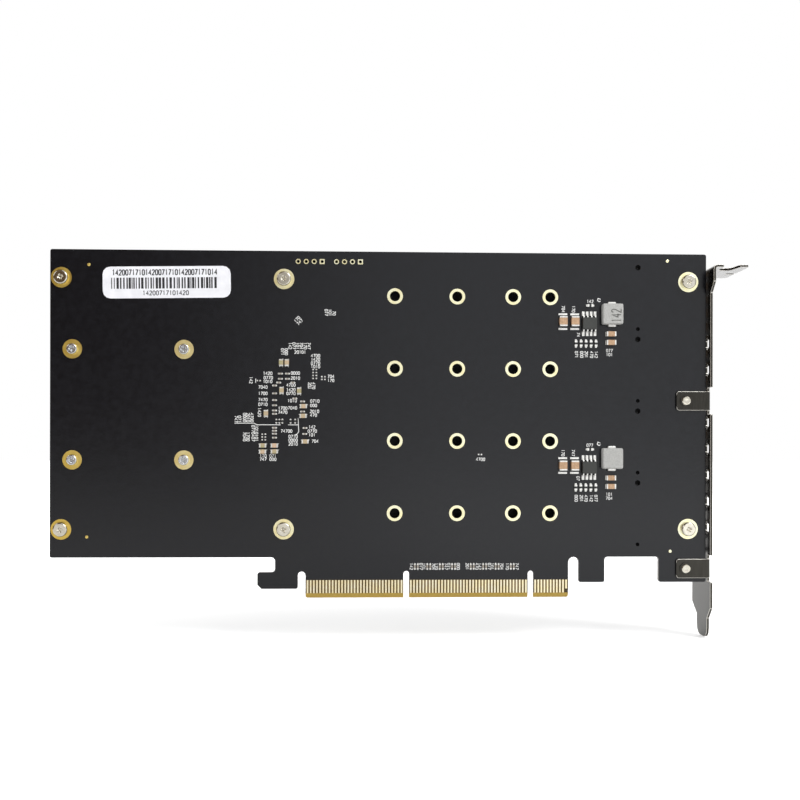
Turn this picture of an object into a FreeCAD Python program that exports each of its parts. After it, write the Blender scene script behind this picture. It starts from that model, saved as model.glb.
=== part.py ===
"""Full-height expansion card that carries four M.2 drives under a finned heatsink cover.

The card stands as it is plugged in. X runs along the card towards the bracket, Z up from the
contact edge, and Y from the solder side through the board to the component side. The origin is
at the centre of the key notch, at the lower edge of the contacts, midway through the board.
All sizes are millimetres.
"""
import FreeCAD, Part

import math
import os

from FreeCAD import Vector

# ---------------------------------------------------------------- circuit board
BOARD_THICKNESS = 1.57
BOARD_LEFT = -152.9
BOARD_RIGHT = 56.9
BODY_BOTTOM = 12.95
CORNER_R = 0.6
SLOT_CORNER_R = 1.0

# contact edge
PIN_PITCH = 1.0
KEY_PIN_GAP = 1.5
PINS_BEFORE_KEY = 11
PINS_AFTER_KEY = 71
SECOND_NOTCH_X = -40.0
NOTCH_WIDTH = 1.85
NOTCH_DEPTH = 8.55
EDGE_MARGIN = 0.65
BEVEL_HEIGHT = 1.5
BEVEL_DEPTH = 0.5
PIN_WIDTH = 0.7
PIN_TOP = 5.65
SHORT_PIN_LIFT = 1.3
COPPER = 0.05
ARC_SHY = 0.01

# retention hook beside the contacts
HOOK_SLOT_WIDTH = 2.5
HOOK_SLOT_TOP = 8.4
HOOK_LENGTH = 12.8
HOOK_BOTTOM = 2.9
HOOK_TOP = 8.1
HOOK_THROAT = 5.6
HOOK_CHAMFER = 1.3
HOOK_INNER_R = 1.2

# tabs between the contacts and the bracket
REAR_SLOT_WIDTH = 3.45
TAB_WIDTH = 8.3
TAB_BOTTOM = 4.8
GAP_WIDTH = 17.7

# ---------------------------------------------------------------- drive positions
DRIVE_COUNT = 4
LOWEST_DRIVE_Z = 27.0
DRIVE_PITCH = 23.16
TOP_DRIVE_TO_EDGE = 14.17
DRIVE_EDGE_X = 36.25
DRIVE_LENGTHS = (30.0, 42.0, 60.0, 80.0)
DRIVE_HOLE_R = 1.65
DRIVE_PAD_R = 2.6
PAD_HOLE_GAP = 0.06

# ---------------------------------------------------------------- drive sockets
SOCKET_SPACING = 1.26
SOCKET_DEPTH = 8.7
SOCKET_HEIGHT = 4.2
SOCKET_SEAT = 0.15
SOCKET_FRONT = 4.4
SLOT_FLOOR = 2.3
SLOT_GAP = 1.15
SLOT_DEPTH = 6.6
LOWER_LIP_SETBACK = 0.8
KEY_RIB_OFFSET = 6.125
KEY_RIB_WIDTH = 1.1
PEG_SETBACK = 2.85
LARGE_PEG_R = 0.8
SMALL_PEG_R = 0.55
LARGE_PEG_INSET = 1.17
SMALL_PEG_INSET = 0.88
PEG_LENGTH = 1.3
PEG_GAP = 0.03
PEG_ROOT = 0.2
CHEEK_WIDTH = 0.8

# ---------------------------------------------------------------- cover and its screws
COVER_INSET = 0.5
COVER_LEFT_INSET = 0.5
COVER_RIGHT = 54.4
COVER_STANDOFF = 6.5
COVER_BASE = 2.5
COVER_RISE = 14.0
COVER_WALL = 1.6
WALL_LIFT = 0.3
FIN_THICKNESS = 1.4
FIN_COUNT = 22

COVER_SCREW_X = (-149.4, -79.15, 51.07)
LOWER_COVER_SCREW_Z = 21.9
UPPER_COVER_SCREW_BELOW_TOP = 8.95
COVER_SCREW_R = 1.5
COVER_HEAD_R = 2.3
COVER_HEAD_HEIGHT = 1.5
COVER_PAD_R = 3.35
SPACER_R = 2.75

SMALL_SCREW_CENTRE = (-128.35, 61.5)
SMALL_SCREW_SPACING = 35.15
SMALL_SCREW_R = 1.0
SMALL_HEAD_R = 1.7
SMALL_HEAD_HEIGHT = 1.2
SMALL_PAD_R = 3.05
SMALL_SPACER_R = 2.25

SCREW_CLEARANCE = 0.1
THREAD_GAP = 0.02
THREAD_DEPTH = 2.2
CROWN_SHARE = 0.72
SHOULDER_SHARE = 0.5

# ---------------------------------------------------------------- drive and switch cooling
DRIVE_PAD_LENGTH = 70.0
DRIVE_PAD_WIDTH = 20.0
DRIVE_PAD_THICKNESS = 1.7
SWITCH_X = -78.0
SWITCH_Z = 61.8
SWITCH_SIZE = 23.0
SWITCH_SUBSTRATE = 1.1
SWITCH_LID_SIZE = 19.0
SWITCH_LID_HEIGHT = 1.0
SWITCH_PAD_SIZE = 25.0

# ---------------------------------------------------------------- bracket
SHEET = 0.86
BRACKET_GAP = 0.6
BRACKET_WIDTH = 18.42
BRACKET_NEAR = 2.56
BEND_R = 0.5
FLANGE_TOP = 106.5
FLANGE_REACH = 11.43
FLANGE_WIDTH = 21.59
FLANGE_CORNER_R = 1.0
FLARE_BOTTOM = 98.0
NOTCH_OFFSET = 5.6
NOTCH_R = 2.2
NOTCH_REACH = 7.0
NOTCH_FLARE = 1.0
ALIGN_SLOT_SETBACK = 12.8
ALIGN_SLOT_LENGTH = 3.3
ALIGN_SLOT_WIDTH = 1.9
TAIL_TOP = -3.5
TAIL_NECK = -7.0
TAIL_BOTTOM = -13.52
TAIL_WIDTH = 10.19
TAIL_SHIFT = 0.87
TAIL_CORNER_R = 3.2
VENT_R = 2.0
VENT_COLUMNS = 4
VENT_COLUMN_PITCH = 3.9
VENT_PITCH = 8.5
VENT_LOWEST = 18.05
VENT_ROWS = 9
BRACKET_TAB_HEIGHT = 6.2
BRACKET_TAB_END = 47.1
BRACKET_TAB_R = 0.8
RELIEF = 1.2
FOLD_OVERLAP = 0.2
BRACKET_SCREW_X = 50.2
BRACKET_SCREW_Z = (9.2, 63.25)
BRACKET_SCREW_R = 1.45
BRACKET_HEAD_R = 2.8
BRACKET_HEAD_HEIGHT = 1.8
COLLAR_R = 2.1
COLLAR_HEIGHT = 0.35
SCREW_TIP = 0.45

# ---------------------------------------------------------------- small board features
HEADER_PITCH = 2.54
HEADER_PINS = 4
HEADER_FIRST_X = (-74.67, -62.46)
HEADER_BELOW_TOP = 3.3
HEADER_HOLE_R = 0.5
HEADER_PAD_R = 0.9
FIDUCIAL_R = 0.55
UPPER_FIDUCIALS = ((-140.8, 4.85), (44.2, 2.25))
LOWER_FIDUCIALS = ((-141.3, 19.5), (45.3, 14.7))
LABEL_X = -116.25
LABEL_BELOW_TOP = 10.25
LABEL_SIZE = (40.4, 10.1)
LABEL_R = 2.4
LABEL_TURN = -0.85
LABEL_THICKNESS = 0.08

# ---------------------------------------------------------------- parts on the solder side
# Chip sizes: length between the end caps, width, height, length of one end cap.
CHIP_1210 = (3.2, 2.5, 1.6, 0.5)
CHIP_1206 = (3.1, 1.6, 1.3, 0.5)
CHIP_0805 = (2.2, 1.35, 1.0, 0.45)
CHIP_0603 = (1.9, 0.9, 0.55)
CHIP_0402 = (1.3, 0.6, 0.4)
CHIP_COUPLING = (1.9, 0.6, 0.5)
SOLDER_FILM = 0.03

REGULATOR_X = 18.83
DRIVES_PER_REGULATOR = 2
REGULATOR_ABOVE_DRIVE = 14.7
CHIP_BODY = (4.6, 3.8, 1.5)
CHIP_TAPER = 0.12
CHIP_STANDOFF = 0.1
LEAD_COUNT = 4
LEAD_PITCH = 1.27
LEAD_WIDTH = 0.42
LEAD_SPAN = 6.6
LEAD_FOOT = 0.7
LEAD_SHEET = 0.2
INDUCTOR_PLACE = (7.2, 2.95)
INDUCTOR_SIZE = 6.6
INDUCTOR_HEIGHT = 3.0
INDUCTOR_R = 0.7
INDUCTOR_BEVEL = 0.35
TERMINAL_WIDTH = 2.6
TERMINAL_REACH = 0.7
TERMINAL_HEIGHT = 1.3
TERMINAL_TUCK = 0.2
INPUT_CAPACITORS = ((-8.5, 0.65), (-4.67, 0.65))
OUTPUT_CAPACITORS = ((7.03, -3.3), (7.03, -6.05))
FEEDBACK_FIRST = (-4.3, -6.4)
FEEDBACK_PITCH = 1.62
FEEDBACK_COUNT = 5
BOOTSTRAP_PLACE = (0.3, 5.85)

# Coupling capacitors stand in pairs above the contacts, one pair for each lane.
COUPLING_LANES = (-36.8, -32.8, -28.8, -24.85, -18.85, -14.85, -10.85, -5.95)
COUPLING_SPREAD = 0.95
COUPLING_Z = 9.95

# Places of the switch's parts, from the middle of the switch: (along the card, up).
BULK_UPRIGHT = ((-2.0, 13.2), (-0.2, 13.2), (-1.85, 4.35), (3.75, 4.2), (-6.8, -3.0))
BULK_LEVEL = ((5.1, -0.65), (5.0, -3.75), (5.65, -11.9), (-7.8, -13.2), (-7.85, -15.15),
              (-4.1, -13.2), (-4.1, -15.1))
DECOUPLING_COLUMN = ((-4.1, 5.9), (-4.1, 3.4), (-4.1, 1.25), (-4.1, -0.4), (-4.1, -2.05),
                     (-4.1, -3.1), (-4.1, -7.55), (-4.1, -8.5), (-4.1, -9.45), (-4.1, -10.7))
DECOUPLING_OTHER = ((-2.25, 9.7), (0.0, 9.7), (-2.25, 8.05), (0.0, 8.05), (-2.8, 6.85),
                    (1.7, 6.85), (2.35, 1.8), (4.8, 0.85), (4.8, -2.35), (5.6, -7.6),
                    (5.5, -9.5))
PULL_UPS = ((-3.5, -5.45), (-2.55, -5.45), (-1.6, -5.45), (1.0, -5.45), (2.45, -5.45))

# ---------------------------------------------------------------- flat sides for small round things
# The drive holes are true circles, because stand-offs are bolted through them. Everything else
# that is small and round has a few flat sides, so that the whole card stays light to draw.
CORNER_CHORDS = 3
PAD_SIDES = 8
SCREW_SIDES = 8
PEG_SIDES = 6
TAP_SIDES = 6
SPACER_SIDES = 6
VENT_SIDES = 6
CUT_OVERRUN = 1.0

# ---------------------------------------------------------------- derived places
SOLDER_FACE = -BOARD_THICKNESS / 2
PART_FACE = BOARD_THICKNESS / 2
CONTACTS_RIGHT = KEY_PIN_GAP + (PINS_BEFORE_KEY - 1) * PIN_PITCH + EDGE_MARGIN
CONTACTS_LEFT = -KEY_PIN_GAP - (PINS_AFTER_KEY - 1) * PIN_PITCH - EDGE_MARGIN
TAB_LEFT = CONTACTS_RIGHT + REAR_SLOT_WIDTH
TAB_RIGHT = TAB_LEFT + TAB_WIDTH
GAP_RIGHT = TAB_RIGHT + GAP_WIDTH
HOOK_RIGHT = CONTACTS_LEFT - HOOK_SLOT_WIDTH
HOOK_LEFT = HOOK_RIGHT - HOOK_LENGTH
DRIVE_ROWS = [LOWEST_DRIVE_Z + i * DRIVE_PITCH for i in range(DRIVE_COUNT)]
BOARD_TOP = DRIVE_ROWS[-1] + TOP_DRIVE_TO_EDGE
DRIVE_HOLES = [(DRIVE_EDGE_X - length, z) for z in DRIVE_ROWS for length in DRIVE_LENGTHS]
COVER_SCREW_Z = (LOWER_COVER_SCREW_Z, BOARD_TOP - UPPER_COVER_SCREW_BELOW_TOP)
COVER_SCREWS = [(x, z) for x in COVER_SCREW_X for z in COVER_SCREW_Z]
SMALL_SCREWS = [(SMALL_SCREW_CENTRE[0] + i * SMALL_SCREW_SPACING / 2,
                 SMALL_SCREW_CENTRE[1] + j * SMALL_SCREW_SPACING / 2)
                for i in (-1, 1) for j in (-1, 1)]
BRACKET_SCREWS = [(BRACKET_SCREW_X, z) for z in BRACKET_SCREW_Z]
HEADER_Z = BOARD_TOP - HEADER_BELOW_TOP
HEADER_HOLES = [(first + i * HEADER_PITCH, HEADER_Z)
                for first in HEADER_FIRST_X for i in range(HEADER_PINS)]
FIDUCIALS = LOWER_FIDUCIALS + tuple((x, BOARD_TOP - below) for x, below in UPPER_FIDUCIALS)
SOCKET_WIDTH = DRIVE_PITCH - SOCKET_SPACING
PEG_X = DRIVE_EDGE_X - SOCKET_FRONT + PEG_SETBACK
LARGE_PEG_OFFSET = SOCKET_WIDTH / 2 - LARGE_PEG_INSET
SMALL_PEG_OFFSET = SOCKET_WIDTH / 2 - SMALL_PEG_INSET
LARGE_PEGS = [(PEG_X, z + LARGE_PEG_OFFSET) for z in DRIVE_ROWS]
SMALL_PEGS = [(PEG_X, z - SMALL_PEG_OFFSET) for z in DRIVE_ROWS]
REGULATORS = [(REGULATOR_X, z + REGULATOR_ABOVE_DRIVE) for z in DRIVE_ROWS[::DRIVES_PER_REGULATOR]]
COVER_UNDER = PART_FACE + COVER_STANDOFF
COVER_OUTER = PART_FACE + COVER_RISE
BRACKET_IN = BOARD_RIGHT + BRACKET_GAP
BRACKET_OUT = BRACKET_IN + SHEET
BRACKET_NEAR_Y = SOLDER_FACE - BRACKET_NEAR
BRACKET_FAR_Y = BRACKET_NEAR_Y + BRACKET_WIDTH
BRACKET_MID_Y = (BRACKET_NEAR_Y + BRACKET_FAR_Y) / 2


# ---------------------------------------------------------------- drawing helpers
def on_xz(y):
    """Drawing plane across Y at the given depth: first coordinate X, second Z."""
    return lambda u, v: Vector(u, y, v)


def on_yz(x):
    """Drawing plane across X: first coordinate Y, second Z."""
    return lambda u, v: Vector(x, u, v)


def on_xy(z):
    """Drawing plane across Z: first coordinate X, second Y."""
    return lambda u, v: Vector(u, v, z)


def outline(corners, plane):
    """Face through the corners (u, v) or (u, v, radius); a radius becomes even chords of its arc."""
    points = [Vector(corner[0], corner[1], 0) for corner in corners]
    path = []
    for i, (point, corner) in enumerate(zip(points, corners)):
        if len(corner) == 2 or corner[2] == 0:
            path.append(point)
            continue
        back = (points[i - 1] - point).normalize()
        ahead = (points[(i + 1) % len(points)] - point).normalize()
        half = back.getAngle(ahead) / 2
        centre = point + (back + ahead).normalize() * (corner[2] / math.sin(half))
        start = point + back * (corner[2] / math.tan(half)) - centre
        end = point + ahead * (corner[2] / math.tan(half)) - centre
        sweep = start.getAngle(end)
        for k in range(CORNER_CHORDS + 1):
            turned = sweep * k / CORNER_CHORDS
            spoke = (start * math.sin(sweep - turned) + end * math.sin(turned)) / math.sin(sweep)
            path.append(centre + spoke)
    ring = [plane(point.x, point.y) for point in path]
    return Part.Face(Part.makePolygon(ring + ring[:1]))


def rectangle(u0, v0, u1, v1, radius=0):
    """Corners of a rectangle with one corner radius."""
    return [(u0, v0, radius), (u1, v0, radius), (u1, v1, radius), (u0, v1, radius)]


def spokes(radius, sides):
    """Corners of a regular outline, on a circle of the given radius about (0, 0)."""
    turns = [2 * math.pi * (i + 0.5) / sides for i in range(sides)]
    return [(radius * math.cos(turn), radius * math.sin(turn)) for turn in turns]


def prism(x, z, radius, y0, y1, sides):
    """Bar along Y with flat sides, inside a circle of the given radius."""
    face = outline([(x + u, z + v) for u, v in spokes(radius, sides)], on_xz(y0))
    return face.extrude(Vector(0, y1 - y0, 0))


def drill(x, z, radius, y0, y1, sides):
    """Tool for a flat-sided hole that clears a circle of the given radius."""
    return prism(x, z, radius / math.cos(math.pi / sides), y0, y1, sides)


def washer(x, z, outer, inner, y0, y1, sides):
    """Flat-sided ring along Y."""
    return prism(x, z, outer, y0, y1, sides).cut(drill(x, z, inner, y0, y1, sides))


def taper(x, z, radius0, y0, radius1, y1, sides):
    """Flat-sided bar along Y that narrows from one radius to another."""
    near, far = ([Vector(x + u, y, z + v) for u, v in spokes(radius, sides)]
                 for radius, y in ((radius0, y0), (radius1, y1)))
    walls = [[near[i - 1], near[i], far[i], far[i - 1]] for i in range(sides)]
    faces = [Part.Face(Part.makePolygon(wall + wall[:1])) for wall in walls + [near, far]]
    bar = Part.Solid(Part.Shell(faces))
    return bar if bar.Volume > 0 else bar.reversed()


def block(x, z, length, height, y0, y1):
    """Box centred on (x, z) between two depths."""
    return Part.makeBox(length, y1 - y0, height, Vector(x - length / 2, y0, z - height / 2))


def group(shapes):
    """Separate solids that share one node."""
    return Part.makeCompound(list(shapes))


def pan_screw(x, z, seat, inward, head_r, head_height, shank_r, shank_length):
    """Pan-head screw whose head sits at the depth seat and whose shank points inward (+1 or -1)."""
    shoulder = seat - inward * head_height * SHOULDER_SHARE
    crown = seat - inward * head_height
    head = taper(x, z, head_r, seat, head_r, shoulder, SCREW_SIDES)
    dome = taper(x, z, head_r, shoulder, head_r * CROWN_SHARE, crown, SCREW_SIDES)
    shank = taper(x, z, shank_r, seat, shank_r, seat + inward * shank_length, SCREW_SIDES)
    return head.multiFuse([dome, shank]).removeSplitter()


# ---------------------------------------------------------------- circuit board
def board_corners():
    """Card outline from the top left, clockwise as seen from the solder side."""
    half_notch = NOTCH_WIDTH / 2
    notch_r = half_notch - ARC_SHY
    corners = [(BOARD_LEFT, BOARD_TOP, CORNER_R), (BOARD_RIGHT, BOARD_TOP, CORNER_R),
               (BOARD_RIGHT, TAB_BOTTOM, CORNER_R), (GAP_RIGHT, TAB_BOTTOM, CORNER_R),
               (GAP_RIGHT, BODY_BOTTOM, SLOT_CORNER_R), (TAB_RIGHT, BODY_BOTTOM, SLOT_CORNER_R),
               (TAB_RIGHT, TAB_BOTTOM, CORNER_R), (TAB_LEFT, TAB_BOTTOM, CORNER_R),
               (TAB_LEFT, BODY_BOTTOM, REAR_SLOT_WIDTH / 2 - ARC_SHY),
               (CONTACTS_RIGHT, BODY_BOTTOM, REAR_SLOT_WIDTH / 2 - ARC_SHY),
               (CONTACTS_RIGHT, 0, CORNER_R)]
    for middle in (0.0, SECOND_NOTCH_X):
        right, left = middle + half_notch, middle - half_notch
        corners += [(right, 0), (right, NOTCH_DEPTH, notch_r), (left, NOTCH_DEPTH, notch_r), (left, 0)]
    corners += [(CONTACTS_LEFT, 0, CORNER_R),
                (CONTACTS_LEFT, HOOK_SLOT_TOP, HOOK_SLOT_WIDTH / 2 - ARC_SHY),
                (HOOK_RIGHT, HOOK_SLOT_TOP, HOOK_SLOT_WIDTH / 2 - ARC_SHY),
                (HOOK_RIGHT, HOOK_BOTTOM, CORNER_R), (HOOK_LEFT + HOOK_CHAMFER, HOOK_BOTTOM),
                (HOOK_LEFT, HOOK_BOTTOM + HOOK_CHAMFER), (HOOK_LEFT, HOOK_TOP, CORNER_R),
                (HOOK_LEFT + HOOK_THROAT, HOOK_TOP, HOOK_INNER_R),
                (HOOK_LEFT + HOOK_THROAT, BODY_BOTTOM, HOOK_INNER_R),
                (BOARD_LEFT, BODY_BOTTOM, CORNER_R)]
    return corners


def edge_bevels():
    """The two wedges taken off the lower edge of the contact tongue."""
    reach = CUT_OVERRUN
    length = CONTACTS_RIGHT - CONTACTS_LEFT + 2 * reach
    wedges = []
    for side in (-1, 1):
        face = side * BOARD_THICKNESS / 2
        corners = [(face, BEVEL_HEIGHT), (face - side * BEVEL_DEPTH, 0),
                   (face - side * BEVEL_DEPTH, -reach), (face + side * reach, -reach),
                   (face + side * reach, BEVEL_HEIGHT)]
        wedge = outline(corners, on_yz(CONTACTS_LEFT - reach))
        wedges.append(wedge.extrude(Vector(length, 0, 0)))
    return wedges


def board_drills():
    """Tools for every drilled hole; the drive holes are true circles."""
    low, high = SOLDER_FACE - CUT_OVERRUN, PART_FACE + CUT_OVERRUN
    tools = [Part.makeCylinder(DRIVE_HOLE_R, high - low, Vector(x, low, z), Vector(0, 1, 0))
             for x, z in DRIVE_HOLES]
    sets = ((COVER_SCREWS, COVER_SCREW_R + SCREW_CLEARANCE, PAD_SIDES),
            (SMALL_SCREWS, SMALL_SCREW_R + SCREW_CLEARANCE, PAD_SIDES),
            (BRACKET_SCREWS, BRACKET_SCREW_R + SCREW_CLEARANCE, PAD_SIDES),
            (HEADER_HOLES, HEADER_HOLE_R, TAP_SIDES),
            (LARGE_PEGS, LARGE_PEG_R + PEG_GAP, PEG_SIDES),
            (SMALL_PEGS, SMALL_PEG_R + PEG_GAP, PEG_SIDES))
    for places, radius, sides in sets:
        tools += [drill(x, z, radius, low, high, sides) for x, z in places]
    return tools


def circuit_board():
    board = outline(board_corners(), on_xz(SOLDER_FACE)).extrude(Vector(0, BOARD_THICKNESS, 0))
    return board.cut(edge_bevels() + board_drills())


# ---------------------------------------------------------------- contacts and copper pads
def pin_places():
    """Number and middle of each edge contact; none stand where the second notch is."""
    places = [(i + 1, KEY_PIN_GAP + (PINS_BEFORE_KEY - 1 - i) * PIN_PITCH)
              for i in range(PINS_BEFORE_KEY)]
    places += [(PINS_BEFORE_KEY + 1 + i, -KEY_PIN_GAP - i * PIN_PITCH)
               for i in range(PINS_AFTER_KEY)]
    clear = (NOTCH_WIDTH + PIN_WIDTH) / 2
    return [(number, x) for number, x in places if abs(x - SECOND_NOTCH_X) > clear]


def edge_contacts(y0, short_pin):
    """One row of gold contacts; the presence-detect contact is short."""
    pins = []
    for number, x in pin_places():
        foot = BEVEL_HEIGHT + (SHORT_PIN_LIFT if number == short_pin else 0)
        pins.append(block(x, (PIN_TOP + foot) / 2, PIN_WIDTH, PIN_TOP - foot, y0, y0 + COPPER))
    return group(pins)


def pads(places, outer, inner):
    """Copper rings round drilled holes, on the solder side."""
    return group(washer(x, z, outer, inner, SOLDER_FACE - COPPER, SOLDER_FACE, PAD_SIDES)
                 for x, z in places)


def header_pads():
    """Copper round each header hole, square at the last pin of a row."""
    plates = []
    size = 2 * HEADER_PAD_R
    for i, (x, z) in enumerate(HEADER_HOLES):
        if i % HEADER_PINS == HEADER_PINS - 1:
            plate = block(x, z, size, size, SOLDER_FACE - COPPER, SOLDER_FACE)
        else:
            plate = prism(x, z, HEADER_PAD_R, SOLDER_FACE - COPPER, SOLDER_FACE, PEG_SIDES)
        plates.append(plate.cut(drill(x, z, HEADER_HOLE_R, SOLDER_FACE - CUT_OVERRUN,
                                      SOLDER_FACE + CUT_OVERRUN, TAP_SIDES)))
    return group(plates)


# ---------------------------------------------------------------- drive sockets
def drive_socket(row_z):
    """Card-edge socket: open towards the drive, two pegs through the board."""
    front = DRIVE_EDGE_X - SOCKET_FRONT
    back = front + SOCKET_DEPTH
    low = PART_FACE + SOCKET_SEAT
    top = PART_FACE + SOCKET_HEIGHT
    floor = PART_FACE + SLOT_FLOOR
    ceiling = floor + SLOT_GAP
    bevel = (top - ceiling) / 2
    corners = [(front + LOWER_LIP_SETBACK, low), (back, low), (back, top - 2 * bevel),
               (back - bevel, top), (front, top), (front, ceiling + bevel),
               (front + bevel, ceiling), (front + SLOT_DEPTH, ceiling),
               (front + SLOT_DEPTH, floor), (front + LOWER_LIP_SETBACK, floor)]
    bottom_z = row_z - SOCKET_WIDTH / 2
    housing = outline(corners, on_xy(bottom_z)).extrude(Vector(0, 0, SOCKET_WIDTH))
    rib_length = SLOT_DEPTH - LOWER_LIP_SETBACK
    rib = block(front + LOWER_LIP_SETBACK + rib_length / 2, row_z + KEY_RIB_OFFSET,
                rib_length, KEY_RIB_WIDTH, floor, ceiling)
    cheeks = [block(front + SOCKET_DEPTH / 2, row_z + side * (SOCKET_WIDTH - CHEEK_WIDTH) / 2,
                    SOCKET_DEPTH - bevel * 2, CHEEK_WIDTH, PART_FACE, top) for side in (-1, 1)]
    tip, root = low - PEG_LENGTH, low + PEG_ROOT
    large = prism(PEG_X, row_z + LARGE_PEG_OFFSET, LARGE_PEG_R, tip, root, PEG_SIDES)
    small = prism(PEG_X, row_z - SMALL_PEG_OFFSET, SMALL_PEG_R, tip, root, PEG_SIDES)
    return housing.multiFuse([rib, large, small] + cheeks).removeSplitter()


# ---------------------------------------------------------------- cooling
def heatsink_cover():
    """Finned aluminium cover: one comb-shaped section drawn along the card, then tapped."""
    low = BODY_BOTTOM + COVER_INSET
    high = BOARD_TOP - COVER_INSET
    root = COVER_UNDER + COVER_BASE
    foot = PART_FACE + WALL_LIFT
    corners = [(foot, low), (COVER_OUTER, low)]
    step = (high - low - FIN_THICKNESS) / (FIN_COUNT - 1)
    for i in range(FIN_COUNT - 1):
        gap_low = low + i * step + FIN_THICKNESS
        gap_high = low + (i + 1) * step
        corners += [(COVER_OUTER, gap_low), (root, gap_low), (root, gap_high), (COVER_OUTER, gap_high)]
    corners += [(COVER_OUTER, high), (foot, high), (foot, high - COVER_WALL),
                (COVER_UNDER, high - COVER_WALL), (COVER_UNDER, low + COVER_WALL),
                (foot, low + COVER_WALL)]
    left = BOARD_LEFT + COVER_LEFT_INSET
    cover = outline(corners, on_yz(left)).extrude(Vector(COVER_RIGHT - left, 0, 0))
    taps = []
    for places, radius in ((COVER_SCREWS, COVER_SCREW_R), (SMALL_SCREWS, SMALL_SCREW_R)):
        taps += [drill(x, z, radius + THREAD_GAP, COVER_UNDER - CUT_OVERRUN,
                       COVER_UNDER + THREAD_DEPTH, TAP_SIDES) for x, z in places]
    return cover.cut(taps)


def spacers(places, outer, screw_r):
    """Hexagonal spacers between the board and the cover."""
    return group(washer(x, z, outer, screw_r + SCREW_CLEARANCE, PART_FACE, COVER_UNDER, SPACER_SIDES)
                 for x, z in places)


def cover_fasteners(places, head_r, head_height, screw_r):
    """Screws put in from the solder side, through board and spacer into the cover."""
    seat = SOLDER_FACE - COPPER
    length = COVER_UNDER + THREAD_DEPTH - seat
    return group(pan_screw(x, z, seat, 1, head_r, head_height, screw_r, length - THREAD_GAP)
                 for x, z in places)


def drive_pad(row_z):
    """Soft pad stuck under the cover, over one drive."""
    right = DRIVE_EDGE_X - SOCKET_FRONT - 1
    return block(right - DRIVE_PAD_LENGTH / 2, row_z, DRIVE_PAD_LENGTH, DRIVE_PAD_WIDTH,
                 COVER_UNDER - DRIVE_PAD_THICKNESS, COVER_UNDER)


def switch_chip():
    """Bridge chip: square substrate with a smaller moulded lid."""
    base = block(SWITCH_X, SWITCH_Z, SWITCH_SIZE, SWITCH_SIZE, PART_FACE, PART_FACE + SWITCH_SUBSTRATE)
    lid = block(SWITCH_X, SWITCH_Z, SWITCH_LID_SIZE, SWITCH_LID_SIZE,
                PART_FACE + SWITCH_SUBSTRATE, PART_FACE + SWITCH_SUBSTRATE + SWITCH_LID_HEIGHT)
    return base.fuse(lid)


def switch_pad():
    """Thick gap pad between the chip's lid and the cover."""
    top = PART_FACE + SWITCH_SUBSTRATE + SWITCH_LID_HEIGHT
    return block(SWITCH_X, SWITCH_Z, SWITCH_PAD_SIZE, SWITCH_PAD_SIZE, top, COVER_UNDER)


# ---------------------------------------------------------------- bracket
def bracket_plate():
    """Upright sheet: wide at the top flange, straight past the board, narrow at the tail."""
    flange_near = BRACKET_FAR_Y - FLANGE_WIDTH
    flare = BRACKET_NEAR_Y - flange_near
    tail_mid = BRACKET_MID_Y - TAIL_SHIFT
    tail_near, tail_far = tail_mid - TAIL_WIDTH / 2, tail_mid + TAIL_WIDTH / 2
    top = FLANGE_TOP - SHEET - BEND_R
    corners = [(flange_near, top), (flange_near, FLARE_BOTTOM + flare),
               (BRACKET_NEAR_Y, FLARE_BOTTOM), (BRACKET_NEAR_Y, TAIL_TOP),
               (tail_near, TAIL_NECK), (tail_near, TAIL_BOTTOM, TAIL_CORNER_R),
               (tail_far, TAIL_BOTTOM, TAIL_CORNER_R), (tail_far, TAIL_NECK),
               (BRACKET_FAR_Y, TAIL_TOP), (BRACKET_FAR_Y, top)]
    plate = outline(corners, on_yz(BRACKET_IN)).extrude(Vector(SHEET, 0, 0))
    return plate.cut(bracket_vents() + tab_reliefs())


def bracket_vents():
    """Staggered six-sided vents; none where a tab is folded off the sheet."""
    drills = []
    for column in range(VENT_COLUMNS):
        y = BRACKET_MID_Y + (column - (VENT_COLUMNS - 1) / 2) * VENT_COLUMN_PITCH
        staggered = column % 2 == 0
        rows = VENT_ROWS - 1 if staggered else VENT_ROWS
        for row in range(rows):
            z = VENT_LOWEST + row * VENT_PITCH + (VENT_PITCH / 2 if staggered else 0)
            in_tab = any(abs(z - tab_z) < BRACKET_TAB_HEIGHT / 2 + RELIEF + VENT_R
                         for tab_z in BRACKET_SCREW_Z)
            if in_tab and y - VENT_R < SOLDER_FACE + BEND_R:
                continue
            corners = [(y + u, z + v) for u, v in spokes(VENT_R, VENT_SIDES)]
            vent = outline(corners, on_yz(BRACKET_IN - CUT_OVERRUN))
            drills.append(vent.extrude(Vector(SHEET + 2 * CUT_OVERRUN, 0, 0)))
    return drills


def tab_reliefs():
    """Cut-outs in the near edge where each tab leaves the sheet."""
    depth = SOLDER_FACE + BEND_R - BRACKET_NEAR_Y
    height = BRACKET_TAB_HEIGHT + 2 * RELIEF
    corner_x, corner_y = BRACKET_IN - CUT_OVERRUN, BRACKET_NEAR_Y - CUT_OVERRUN
    return [Part.makeBox(SHEET + 2 * CUT_OVERRUN, depth + CUT_OVERRUN, height,
                         Vector(corner_x, corner_y, z - height / 2)) for z in BRACKET_SCREW_Z]


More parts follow.
